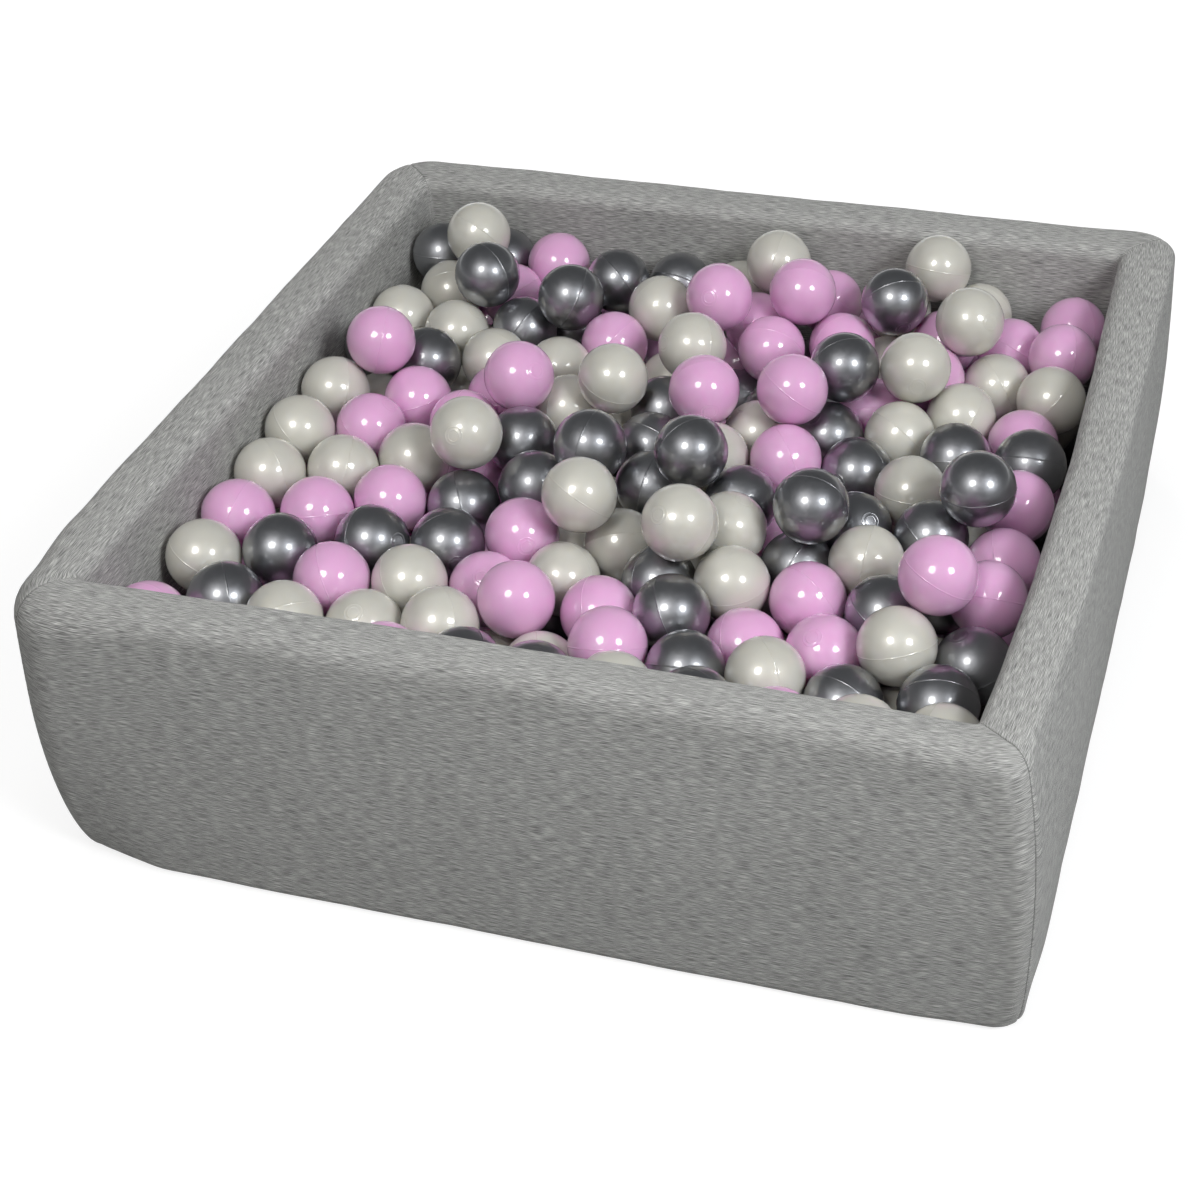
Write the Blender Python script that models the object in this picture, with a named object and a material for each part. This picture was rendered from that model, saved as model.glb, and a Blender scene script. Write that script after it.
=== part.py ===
"""A square soft-walled ball pit, filled with balls: one named object for each piece.

Metres, +Z up. The pit stands on z = 0 and is centred on the origin. Its front wall faces -Y.
"""
import math

import bmesh
import bpy
import numpy as np
from mathutils import Matrix, Vector

# Sizes of the whole pit
PIT_WIDTH = 0.900
RIM_HEIGHT = 0.288
WALL_THICKNESS = 0.058
FLOOR_THICKNESS = 0.030

# Clearance between two pieces that touch
GAP = 0.0003

# Shape of a wall: its rounded edges, its corners in plan and how far its stuffing swells it
RIM_EDGE_RADIUS = 0.012
FOOT_EDGE_RADIUS = 0.012
INNER_FOOT_RADIUS = 0.008
CORNER_RADIUS = 0.055
FOOT_CORNER_RADIUS = 0.024
INNER_CORNER_RADIUS = 0.006
OUTER_SWELL = 0.003
RIM_SWELL = 0.003
ARC_STEPS = 3
CORNER_STEPS = 3
OUTER_FACE_SHARES = (0.45, 0.72)

# The foot of a corner is soft, and draws in towards the pit's middle. The draw starts at a height
# up the wall and at a reach along it. Each corner has its own share of the draw and of the radii
# in plan: front left, front right, back right and back left.
CORNER_DRAW_IN = 0.014
CORNER_DRAW_HEIGHT = 0.180
CORNER_REACH = 0.120
CORNER_DRAW_SHARES = (2.2, 0.6, 0.7, 1.0)
CORNER_RADIUS_SHARES = (1.0, 0.45, 0.8, 1.0)
INNER_DRAW_SHARE = 0.20
OUTER_DRAW_SHARE = 0.75

# Jersey cover
FABRIC = 0.0018

# Zip: two tapes with a row of teeth each, laid on a flat band low on the back wall
ZIP_END_MARGIN = 0.005
ZIP_BAND_LOW = 0.027
ZIP_BAND_HIGH = 0.067
TAPE_WIDTH = 0.0160
TAPE_THICKNESS = 0.0006
TAPE_TAIL = 0.015
TEETH_GAP = 0.0010
TEETH_WIDTH = 0.0022
TEETH_HEIGHT = 0.0022
TEETH_EDGE = 0.0005
SLOT_MARGIN = 0.0012
STOP_LENGTH = 0.0022

# Zip slider and its pull
SLIDER_LENGTH = 0.0110
SLIDER_SIDE = 0.0010
PLATE_THICKNESS = 0.0010
PLATE_CORNER = 0.0016
WEB_THICKNESS = 0.0004
WEB_LENGTH = 0.0045
POST_THICKNESS = 0.0008
BAR_RADIUS = 0.0007
EYE_RADIUS = 0.0018
PULL_THICKNESS = 0.0012
PULL_NECK_WIDTH = 0.0032
PULL_NECK_LENGTH = 0.0030
PULL_WIDTH = 0.0062
PULL_LENGTH = 0.0240
PULL_BODY_THICKNESS = 0.0010
PULL_EDGE = 0.0003

# Balls. Heights of the layers are those of the ball centres.
BALL_RADIUS = 0.035
SURFACE_BELOW_RIM = 0.073
LAYER_RISE = 0.047
DEEP_LAYER_DROP = 0.043
BED_BALL_RISE = 0.012
BED_TOP_BELOW_SURFACE = 0.035
BED_ROOT = 0.004
BED_STALK_RADIUS = 0.013
BED_EDGE_RADIUS = 0.008
LEAST_DOME_HEIGHT = 0.010
FILL_BELOW_SURFACE = 0.026
FILL_DROP = 0.004
BED_BALL_SEGMENTS = 7
BED_BALL_RINGS = 6
STALK_SEGMENTS = 6
LOOSE_BALL_SEGMENTS = 11
LOOSE_BALL_RINGS = 8
ROUND_PIN_SEGMENTS = 12

# Where the balls lie, as someone sees them who stands in front of the pit and to its right.
# The eye's place, the heights of the three layers and how far out the centres of balls can lie
# are in shares of half the pit's width. The rest describes the view in pixels.
EYE_SHARES = (1.2613, -3.6104, 2.9840)
LAYER_SHARES = (0.382, 0.478, 0.582)
REACH_SHARE = 0.7927
VIEW_TURN_DEG = 17.67
VIEW_TILT_DEG = 37.54
VIEW_ROLL_DEG = -2.27
VIEW_FOCAL_PIXELS = 2100.9
VIEW_CENTRE_PIXELS = (709.2, 618.6)

# Each ball is x, y, colour and layer: 0 is deep, 1 is the surface and 2 lies on top of it.
BALL_PIXELS = """
437 255 silver 1, 479 237 pearl 2, 503 256 silver 1, 559 269 pink 1, 621 277 silver 1
680 284 silver 1, 741 292 pearl 1, 781 265 pearl 2, 829 303 pink 1, 895 302 silver 2
943 273 pearl 2, 992 316 pearl 1, 1077 331 pink 1, 899 308 pearl 0, 450 294 pearl 1
488 275 silver 2, 513 293 pink 1, 571 295 silver 2, 578 306 pink 0, 632 307 silver 0
651 295 pearl 2, 715 300 pink 2, 757 327 pink 1, 801 301 pink 2, 851 336 pink 0
886 368 pearl 0, 947 344 pink 1, 968 325 pearl 2, 1016 348 pink 1, 1070 365 pink 1
398 317 pearl 1, 457 334 pearl 1, 490 320 pink 0, 524 330 silver 1, 612 347 pink 1
675 351 pink 0, 692 348 pearl 2, 742 363 pink 0, 772 345 pink 1, 840 343 pink 1
368 347 silver 0, 382 341 pink 2, 429 365 silver 1, 494 362 pearl 1, 561 370 pearl 1
624 384 silver 0, 740 400 silver 0, 846 368 silver 2, 916 371 pearl 2, 938 384 pink 1
1007 384 pearl 1, 975 376 pink 0, 336 390 pearl 1, 380 396 pearl 0, 416 400 pink 1
458 394 pearl 0, 500 399 pink 1, 520 380 pink 2, 568 408 pearl 1, 613 378 pearl 2
665 410 silver 1, 705 396 pink 2, 762 434 pearl 1, 791 396 pink 2, 833 438 silver 1
872 413 pink 1, 928 416 pink 0, 1061 404 pearl 1, 297 430 pearl 1, 368 427 pink 1
461 430 pink 1, 518 450 silver 1, 590 445 silver 2, 620 428 pearl 0, 657 447 silver 1
716 464 pearl 1, 785 468 pink 1, 900 437 pearl 1, 967 418 pearl 1, 1020 437 pink 1
268 473 pearl 1, 342 469 pearl 1, 412 458 pearl 1, 466 437 pearl 2, 495 466 silver 0
488 482 pink 0, 447 482 pink 0, 531 492 silver 1, 654 485 silver 1, 691 452 silver 2
703 500 pearl 0, 605 512 pearl 0, 856 470 silver 1, 951 460 silver 1, 1044 470 silver 1
239 514 pink 1, 320 514 pink 1, 390 500 pink 1, 462 503 silver 1, 580 495 pearl 2
679 524 pearl 2, 741 501 silver 1, 811 504 silver 2, 903 495 pearl 1, 978 492 silver 2
204 556 pearl 1, 281 554 silver 1, 377 541 silver 1, 450 546 silver 1, 523 541 pink 1
572 546 pearl 0, 618 548 pearl 1, 740 541 pearl 1, 775 527 pink 0, 857 531 silver 1
929 536 silver 1, 1032 513 pink 1, 152 619 pink 1, 218 598 silver 1, 255 590 pink 0
287 616 pearl 1, 337 579 pink 1, 413 585 pearl 1, 488 580 pink 1, 563 581 pearl 1
661 581 silver 1, 702 580 pearl 0, 734 586 pearl 1, 802 563 silver 1, 875 571 pearl 1
977 558 pearl 0, 948 581 silver 1, 1018 560 pink 1, 364 624 pearl 1, 440 625 pearl 1
516 615 pink 1, 604 613 pink 1, 680 620 silver 1, 748 638 pink 1, 805 605 pink 1
884 613 silver 1, 938 585 pink 2, 1004 608 pink 1, 379 663 pink 1, 459 666 silver 1
538 653 pearl 1, 617 653 pink 1, 690 668 silver 1, 768 683 pearl 1, 826 650 pink 1
903 657 pearl 1, 986 657 silver 1, 544 693 silver 1, 623 696 pearl 1, 701 712 silver 1
783 728 pink 1, 848 695 silver 1, 934 702 silver 1, 946 747 pearl 1, 859 741 pearl 1
889 720 pearl 0
"""

# How the balls settle: passes, and the share of each fault that one pass takes away
SETTLE_PASSES = 600
FREE_PASSES = 450
PUSH_SHARE = 0.5
SIGHT_SHARE = 0.2
LEVEL_SHARE = 0.02
FILL_STEP_SHARE = 0.25

# How a loose ball looks for a free place: the share of its radius between rings, and their spokes
SEAT_STEP_SHARE = 0.05
SEAT_SPOKES = 12

# Values that the sizes above give
HALF_WIDTH = PIT_WIDTH / 2
INNER_HALF = HALF_WIDTH - WALL_THICKNESS
FLOOR_HALF = INNER_HALF - GAP
FLOOR_CORNER_RADIUS = INNER_CORNER_RADIUS + GAP
SURFACE_HEIGHT = RIM_HEIGHT - SURFACE_BELOW_RIM
BED_TOP = SURFACE_HEIGHT - BED_TOP_BELOW_SURFACE
BED_BOTTOM = FLOOR_THICKNESS + GAP
BALL_REACH = INNER_HALF - BALL_RADIUS - GAP
BALL_SPACING = 2 * BALL_RADIUS + GAP
LOWEST_RING = BALL_RADIUS * math.cos(math.pi / BED_BALL_RINGS)
LAYER_HEIGHTS = (SURFACE_HEIGHT - DEEP_LAYER_DROP, SURFACE_HEIGHT, SURFACE_HEIGHT + LAYER_RISE)
ZIP_LENGTH = PIT_WIDTH - 2 * (CORNER_REACH + TAPE_TAIL + ZIP_END_MARGIN)

# Colour, roughness and metallic value of each material
LOOKS = {
    "jersey": ((0.36, 0.36, 0.35), 0.95, 0.0),
    "foam": ((0.75, 0.74, 0.68), 0.90, 0.0),
    "zip_tape": ((0.30, 0.30, 0.30), 0.85, 0.0),
    "zip_teeth": ((0.24, 0.24, 0.24), 0.45, 0.0),
    "zip_metal": ((0.45, 0.45, 0.46), 0.30, 0.9),
    "ball_bed": ((0.50, 0.42, 0.48), 0.35, 0.0),
    "ball_pink": ((0.61, 0.36, 0.56), 0.28, 0.0),
    "ball_pearl": ((0.62, 0.60, 0.55), 0.28, 0.0),
    "ball_silver": ((0.07, 0.08, 0.09), 0.25, 0.4),
}


def clear_scene():
    """Takes out whatever the scene holds."""
    for thing in list(bpy.data.objects):
        bpy.data.objects.remove(thing, do_unlink=True)


def new_collection(name):
    """A collection in the scene."""
    made = bpy.data.collections.new(name)
    bpy.context.scene.collection.children.link(made)
    return made


def new_material(name):
    """One Principled material from its row in LOOKS."""
    colour, roughness, metallic = LOOKS[name]
    made = bpy.data.materials.new(name)
    made.use_nodes = True
    shader = made.node_tree.nodes["Principled BSDF"]
    shader.inputs["Base Color"].default_value = (*colour, 1.0)
    shader.inputs["Roughness"].default_value = roughness
    shader.inputs["Metallic"].default_value = metallic
    made.diffuse_color = (*colour, 1.0)
    return made


clear_scene()
PARTS = new_collection("ball_pit")
CUTTERS = new_collection("cutters")
MATERIALS = {name: new_material(name) for name in LOOKS}


def add_object(name, mesh, look, parent=None):
    """A part that holds mesh, in one material, shaded smooth but for its sharp edges."""
    mesh.shade_smooth()
    mesh.set_sharp_from_angle(angle=math.radians(40))
    if not mesh.materials:
        mesh.materials.append(MATERIALS[look])
    made = bpy.data.objects.new(name, mesh)
    PARTS.objects.link(made)
    made.parent = parent
    return made


def add_helper(name, mesh, parent=None):
    """A solid that only cuts another or joins it, so it is no part itself."""
    made = bpy.data.objects.new(name, mesh)
    CUTTERS.objects.link(made)
    made.parent = parent
    made.hide_render = True
    made.display_type = "WIRE"
    return made


def combine(part, helper, operation, overlapping=False):
    """Cuts helper from part, or joins it to part. A helper's own pieces may be overlapping."""
    modifier = part.modifiers.new(helper.name, "BOOLEAN")
    modifier.operation = operation
    modifier.solver = "EXACT"
    modifier.object = helper
    modifier.use_self = overlapping


def mesh_from(name, shape):
    """The mesh of a bmesh, with its faces turned outwards."""
    bmesh.ops.recalc_face_normals(shape, faces=shape.faces)
    mesh = bpy.data.meshes.new(name)
    shape.to_mesh(mesh)
    shape.free()
    return mesh


def box_mesh(name, low, high, edge=0.0, upright_edge=0.0):
    """A box between two corners, with every edge bevelled or only its upright edges rounded."""
    low, high = Vector(low), Vector(high)
    shape = bmesh.new()
    place = Matrix.LocRotScale((low + high) / 2, None, high - low)
    bmesh.ops.create_cube(shape, size=1, matrix=place)
    if edge:
        bmesh.ops.bevel(shape, geom=shape.edges, offset=edge, segments=1, affect="EDGES", profile=0.5)
    if upright_edge:
        upright = [e for e in shape.edges if e.verts[0].co.xy == e.verts[1].co.xy]
        bmesh.ops.bevel(shape, geom=upright, offset=upright_edge, segments=3, affect="EDGES", profile=0.5)
    return mesh_from(name, shape)


def pin_mesh(name, radius, length, centre):
    """A cylinder along Z."""
    shape = bmesh.new()
    place = Matrix.Translation(centre)
    bmesh.ops.create_cone(
        shape,
        cap_ends=True,
        segments=ROUND_PIN_SEGMENTS,
        radius1=radius,
        radius2=radius,
        depth=length,
        matrix=place,
    )
    return mesh_from(name, shape)


# The walls


def arc(centre_in, centre_up, radius, start_deg, end_deg):
    """Points of an arc in a wall's section, both ends included."""
    turns = [start_deg + (end_deg - start_deg) * k / ARC_STEPS for k in range(ARC_STEPS + 1)]
    return [
        (centre_in + radius * math.cos(math.radians(a)), centre_up + radius * math.sin(math.radians(a)))
        for a in turns
    ]


def swollen(out, up):
    """Moves a point of the plain wall section to where the stuffing holds it.

    out is its distance from the pit's middle. Only the outer face and the rim swell.
    """
    across = (out - INNER_HALF) / WALL_THICKNESS
    rise = up / RIM_HEIGHT
    side = OUTER_SWELL * 4 * rise * (1 - rise)
    crown = RIM_SWELL * 4 * across * (1 - across) * max(0, 2 * rise - 1)
    return out + side * across, up + crown


def wall_section(inset):
    """The section of a wall, drawn in by inset on every side: distance out and height pairs."""
    inner, outer = INNER_HALF, HALF_WIDTH
    rim, foot, inner_foot = RIM_EDGE_RADIUS, FOOT_EDGE_RADIUS, INNER_FOOT_RADIUS
    points = arc(outer - foot, foot, foot - inset, -90, 0)
    heights = [ZIP_BAND_LOW, ZIP_BAND_HIGH] + [RIM_HEIGHT * share for share in OUTER_FACE_SHARES]
    points += [(outer - inset, height) for height in heights]
    points += arc(outer - rim, RIM_HEIGHT - rim, rim - inset, 0, 90)
    points.append(((inner + outer) / 2, RIM_HEIGHT - inset))
    points += arc(inner + rim, RIM_HEIGHT - rim, rim - inset, 90, 180)
    points += arc(inner + inner_foot, inner_foot, inner_foot - inset, 180, 270)
    return [swollen(out, up) for out, up in points]


def wall_columns(section, quarter):
    """The section repeated along a wall, from mitre to mitre, round both corners."""
    near = corner_columns(section, -1, quarter)
    far = corner_columns(section, 1, (quarter + 1) % len(CORNER_DRAW_SHARES))
    return near + far[::-1]


def corner_columns(section, side, corner):
    """The section's columns from a mitre round the corner's arc, and one on the straight wall."""
    turns = [45 * step / CORNER_STEPS for step in range(CORNER_STEPS + 1)]
    columns = [[corner_point(out, up, side, corner, turn) for out, up in section] for turn in turns]
    straight = HALF_WIDTH - CORNER_REACH
    columns.append([Vector((side * straight, -out, up)) for out, up in section])
    return columns


def corner_point(out, up, side, corner, turn_deg):
    """One section point on a corner's arc. A turn of 0 lies on the mitre, and 45 on the straight."""
    across = (out - INNER_HALF) / WALL_THICKNESS
    outer_radius = FOOT_CORNER_RADIUS + (CORNER_RADIUS - FOOT_CORNER_RADIUS) * up / RIM_HEIGHT
    outer_radius *= CORNER_RADIUS_SHARES[corner]
    radius = INNER_CORNER_RADIUS + (outer_radius - INNER_CORNER_RADIUS) * across
    angle = math.radians(45 + turn_deg)
    draw = corner_draw(across, up) * CORNER_DRAW_SHARES[corner]
    along = out - radius + radius * math.cos(angle) - draw
    forward = out - radius + radius * math.sin(angle) - draw
    if turn_deg == 0:
        along -= GAP * math.sqrt(0.5)
    return Vector((side * along, -forward, up))


def corner_draw(across, up):
    """How far a corner's foot is drawn in, along each wall. Its inner face stays where it is."""
    weight = (across - INNER_DRAW_SHARE) / (OUTER_DRAW_SHARE - INNER_DRAW_SHARE)
    drop = 1 - min(up / CORNER_DRAW_HEIGHT, 1)
    return CORNER_DRAW_IN * math.sqrt(0.5) * (1 - math.sqrt(1 - drop**2)) * min(max(weight, 0), 1)


def skin(shape, columns):
    """Joins each column of points to the next one with faces. Returns the columns of corners."""
    corners = [[shape.verts.new(point) for point in column] for column in columns]
    count = len(corners[0])
    for left, right in zip(corners, corners[1:]):
        for k in range(count):
            after = (k + 1) % count
            shape.faces.new((left[k], right[k], right[after], left[after]))
    return corners


def stuffing_mesh(name, quarter):
    """The solid foam of one wall, with mitred ends."""
    shape = bmesh.new()
    corners = skin(shape, wall_columns(wall_section(FABRIC + GAP), quarter))
    shape.faces.new(corners[0])
    shape.faces.new(corners[-1])
    return mesh_from(name, shape)


def sleeve_mesh(name, quarter):
    """The fabric tube round one wall's foam, open at its mitred ends."""
    shape = bmesh.new()
    outside = skin(shape, wall_columns(wall_section(0), quarter))
    inside = skin(shape, wall_columns(wall_section(FABRIC), quarter))
    count = len(outside[0])
    for end in (0, -1):
        for k in range(count):
            after = (k + 1) % count
            shape.faces.new((outside[end][k], outside[end][after], inside[end][after], inside[end][k]))
    return mesh_from(name, shape)


def add_walls():
    """Four walls, each a cover and its foam. Returns the back wall's cover."""
    covers = {}
    for quarter, place in enumerate(("front", "right", "back", "left")):
        foam = add_object(f"foam_{place}", stuffing_mesh(f"foam_{place}", quarter), "foam")
        cover = add_object(f"cover_{place}", sleeve_mesh(f"cover_{place}", quarter), "jersey")
        for piece in (foam, cover):
            piece.rotation_euler.z = math.radians(90 * quarter)
        covers[place] = cover
    return covers["back"]


# The floor cushion


def add_floor():
    """The foam floor, in a cover with a sheet below it and a cap over it."""
    half = FLOOR_HALF
    base = box_mesh("floor_cover_base", (-half, -half, 0), (half, half, FABRIC), 0.0, FLOOR_CORNER_RADIUS)
    add_object("floor_cover_base", base, "jersey")
    cap_low = FABRIC + GAP
    cap = box_mesh(
        "floor_cover_top", (-half, -half, cap_low), (half, half, FLOOR_THICKNESS), 0.0, FLOOR_CORNER_RADIUS
    )
    inner = half - FABRIC
    ceiling = FLOOR_THICKNESS - FABRIC
    room = box_mesh(
        "floor_room",
        (-inner, -inner, cap_low - FABRIC),
        (inner, inner, ceiling),
        0.0,
        FLOOR_CORNER_RADIUS,
    )
    combine(add_object("floor_cover_top", cap, "jersey"), add_helper("floor_room", room), "DIFFERENCE")
    side = inner - GAP
    foam = box_mesh(
        "foam_floor", (-side, -side, cap_low), (side, side, ceiling - GAP), 0.0, FLOOR_CORNER_RADIUS
    )
    add_object("foam_floor", foam, "foam")


# The zip


def add_zip_frame():
    """An empty in the middle of the flat band: X along the zip, Y out of the wall and Z up it."""
    low_out, low_up = swollen(HALF_WIDTH, ZIP_BAND_LOW)
    high_out, high_up = swollen(HALF_WIDTH, ZIP_BAND_HIGH)
    frame = bpy.data.objects.new("zip_frame", None)
    PARTS.objects.link(frame)
    frame.location = (0, (low_out + high_out) / 2, (low_up + high_up) / 2)
    frame.rotation_euler.x = -math.atan2(high_out - low_out, high_up - low_up)
    return frame


def add_zip(back_cover):
    """The zip in the back wall's cover, with its slot, tapes, teeth, stops, slider and pull."""
    frame = add_zip_frame()
    half_teeth = ZIP_LENGTH / 2
    half_gap = TEETH_GAP / 2
    slot_half = half_gap + TEETH_WIDTH + SLIDER_SIDE + GAP + SLOT_MARGIN
    slot_reach = half_teeth + GAP + STOP_LENGTH
    slot = box_mesh(
        "zip_slot", (-slot_reach, -FABRIC - GAP, -slot_half), (slot_reach, FABRIC, slot_half)
    )
    combine(back_cover, add_helper("zip_slot", slot, frame), "DIFFERENCE")

    tape_top = GAP + TAPE_THICKNESS
    teeth_low = tape_top + GAP
    teeth_top = teeth_low + TEETH_HEIGHT
    tape_reach = half_teeth + TAPE_TAIL
    for name, side in (("upper", 1), ("lower", -1)):
        near, far = side * half_gap, side * (half_gap + TAPE_WIDTH)
        tape = box_mesh(
            f"zip_tape_{name}", (-tape_reach, GAP, min(near, far)), (tape_reach, tape_top, max(near, far))
        )
        add_object(f"zip_tape_{name}", tape, "zip_tape", frame)
        far = side * (half_gap + TEETH_WIDTH)
        teeth = box_mesh(
            f"zip_teeth_{name}",
            (-half_teeth, teeth_low, min(near, far)),
            (half_teeth, teeth_top, max(near, far)),
            TEETH_EDGE,
        )
        add_object(f"zip_teeth_{name}", teeth, "zip_teeth", frame)

    stop_half = half_gap + TEETH_WIDTH
    for name, side in (("zip_stop_closed_end", -1), ("zip_stop_open_end", 1)):
        near, far = side * (half_teeth + GAP), side * (half_teeth + GAP + STOP_LENGTH)
        stop = box_mesh(
            name,
            (min(near, far), teeth_low, -stop_half),
            (max(near, far), teeth_top, stop_half),
            TEETH_EDGE,
        )
        add_object(name, stop, "zip_metal", frame)

    add_slider(frame, stop_half, tape_top, teeth_top)


def add_slider(frame, teeth_half, tape_top, teeth_top):
    """The slider at the closed end, and the pull on its bar. Both lie in an empty at the bar."""
    plate_low = teeth_top + GAP
    plate_top = plate_low + PLATE_THICKNESS
    bar_height = plate_top + GAP + EYE_RADIUS
    carrier = bpy.data.objects.new("slider_frame", None)
    PARTS.objects.link(carrier)
    carrier.parent = frame
    carrier.location.x = -(ZIP_LENGTH - SLIDER_LENGTH) / 2 + GAP

    half_length = SLIDER_LENGTH / 2
    side_near = teeth_half + GAP
    side_far = side_near + SLIDER_SIDE
    plate_middle = (plate_low + plate_top) / 2
    plate = box_mesh(
        "zip_slider", (-half_length, plate_low, -side_far), (half_length, plate_top, side_far), TEETH_EDGE
    )
    slider = add_object("zip_slider", plate, "zip_metal", carrier)
    under = box_mesh(
        "slider_under", (-half_length, -PLATE_THICKNESS, -side_far), (half_length, 0, side_far), TEETH_EDGE
    )
    web_half = WEB_THICKNESS / 2
    web = box_mesh(
        "slider_web",
        (-half_length + PLATE_THICKNESS, -PLATE_THICKNESS / 2, -web_half),
        (-half_length + PLATE_THICKNESS + WEB_LENGTH, plate_middle, web_half),
    )
    helpers = [web, under]
    post_near = PULL_NECK_WIDTH / 2 + GAP
    post_far = post_near + POST_THICKNESS
    for side in (-1, 1):
        low, high = sorted((side * side_near, side * side_far))
        helpers.append(
            box_mesh(
                f"slider_side_{high > 0}",
                (-half_length + PLATE_CORNER, tape_top + GAP, low),
                (half_length - PLATE_CORNER, plate_middle, high),
            )
        )
        low, high = sorted((side * post_near, side * post_far))
        helpers.append(
            box_mesh(
                f"slider_post_{high > 0}",
                (-EYE_RADIUS, plate_middle, low),
                (EYE_RADIUS, bar_height + 2 * BAR_RADIUS, high),
            )
        )
    bar_length = post_near + post_far
    helpers.append(pin_mesh("slider_bar", BAR_RADIUS, bar_length, (0, bar_height, 0)))
    for mesh in helpers:
        combine(slider, add_helper(mesh.name, mesh, carrier), "UNION")

    hinge = bpy.data.objects.new("pull_frame", None)
    PARTS.objects.link(hinge)
    hinge.parent = carrier
    hinge.location.y = bar_height
    half_thick = PULL_THICKNESS / 2
    half_body = PULL_BODY_THICKNESS / 2
    neck_start = BAR_RADIUS + GAP + half_thick / 2
    neck_half = PULL_NECK_WIDTH / 2 - PULL_EDGE
    body_start = EYE_RADIUS + PULL_NECK_LENGTH / 2
    eye = pin_mesh("zip_pull", EYE_RADIUS, PULL_NECK_WIDTH, (0, 0, 0))
    pull = add_object("zip_pull", eye, "zip_metal", hinge)
    neck = box_mesh(
        "pull_neck",
        (neck_start, -half_thick, -neck_half),
        (EYE_RADIUS + PULL_NECK_LENGTH, half_thick, neck_half),
    )
    body = box_mesh(
        "pull_body",
        (body_start, -half_body, -PULL_WIDTH / 2),
        (PULL_LENGTH, half_body, PULL_WIDTH / 2),
        PULL_EDGE,
    )
    combine(pull, add_helper("pull_neck", neck, hinge), "UNION")
    combine(pull, add_helper("pull_body", body, hinge), "UNION")
    bore = pin_mesh("pull_bore", BAR_RADIUS + GAP, PULL_NECK_WIDTH + PULL_WIDTH, (0, 0, 0))
    combine(pull, add_helper("pull_bore", bore, hinge), "DIFFERENCE")


# The balls


def read_balls():
    """The balls in the order of BALL_PIXELS: their pixels, their colours and their layers."""
    entries = [entry.split() for entry in BALL_PIXELS.replace("\n", ",").split(",") if entry.strip()]
    pixels = np.array([(float(entry[0]), float(entry[1])) for entry in entries])
    colours = [entry[2] for entry in entries]
    layers = np.array([int(entry[3]) for entry in entries])
    return pixels, colours, layers


def sight_lines(pixels):
    """The direction from the eye to each pixel, in the pit's own axes."""
    turn = math.radians(VIEW_TURN_DEG)
    tilt = math.radians(VIEW_TILT_DEG)
    roll = math.radians(VIEW_ROLL_DEG)
    level_ahead = Vector((-math.sin(turn), math.cos(turn), 0))
    level_right = Vector((math.cos(turn), math.sin(turn), 0))
    ahead = level_ahead * math.cos(tilt) - Vector((0, 0, 1)) * math.sin(tilt)
    level_up = level_right.cross(ahead)
    right = level_right * math.cos(roll) + level_up * math.sin(roll)
    down = ahead.cross(right)
    across = (pixels[:, 0] - VIEW_CENTRE_PIXELS[0]) / VIEW_FOCAL_PIXELS
    below = (pixels[:, 1] - VIEW_CENTRE_PIXELS[1]) / VIEW_FOCAL_PIXELS
    lines = np.array(ahead) + across[:, None] * np.array(right) + below[:, None] * np.array(down)
    return lines / np.sqrt((lines**2).sum(axis=1))[:, None]


def pushes(places, spacing, among):
    """How far each ball is pushed by those of among that it overlaps."""
    between = places[:, None, :] - places[None, :, :]
    distance = np.sqrt((between**2).sum(axis=2))
    np.fill_diagonal(distance, spacing)
    overlap = np.clip(spacing - distance, 0, None) * among
    return (between * (overlap / distance)[:, :, None]).sum(axis=1)


def settle(pixels, layers):
    """Ball centres on their sight lines and near their layers, moved until none overlap."""
    lines = sight_lines(pixels)
    eye = np.array(EYE_SHARES)
    seen = eye + lines * ((np.array(LAYER_SHARES)[layers] - eye[2]) / lines[:, 2])[:, None]
    levels = np.array(LAYER_HEIGHTS)[layers]
    homes = np.column_stack((seen[:, :2] * BALL_REACH / REACH_SHARE, levels))
    places = homes.copy()
    loose = layers == 2
    everyone = np.ones((len(layers), len(layers)))
    both_loose = (loose[:, None] & loose[None, :]) * 1.0
    highest_in_bed = SURFACE_HEIGHT + BED_BALL_RISE
    for turn in range(SETTLE_PASSES):
        shift = pushes(places, BALL_SPACING, everyone) * PUSH_SHARE
        shift[:, :2] += pushes(places[:, :2], BALL_SPACING, both_loose) * PUSH_SHARE
        places += shift
        if turn < FREE_PASSES:
            along = ((places - homes) * lines).sum(axis=1)
            places += (homes + lines * along[:, None] - places) * SIGHT_SHARE
            places += lines * ((levels - places[:, 2]) * LEVEL_SHARE / lines[:, 2])[:, None]
        places[:, :2] = np.clip(places[:, :2], -BALL_REACH, BALL_REACH)
        places[~loose, 2] = np.minimum(places[~loose, 2], highest_in_bed)
    return places


def fill_holes(bed, lowest):
    """The bed's balls with more in the holes between them, packed from the top down to lowest."""
    step = BALL_SPACING * FILL_STEP_SHARE
    count = int(2 * BALL_REACH / step)
    filled = list(bed)
    height = SURFACE_HEIGHT - FILL_BELOW_SURFACE
    while height >= lowest:
        for row in range(count + 1):
            for column in range(count + 1):
                place = np.array([column * step - BALL_REACH, row * step - BALL_REACH, height])
                distance = np.sqrt(((np.array(filled) - place) ** 2).sum(axis=1))
                if distance.min() >= BALL_SPACING:
                    filled.append(place)
        height -= FILL_DROP
    return np.array(filled)


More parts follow.
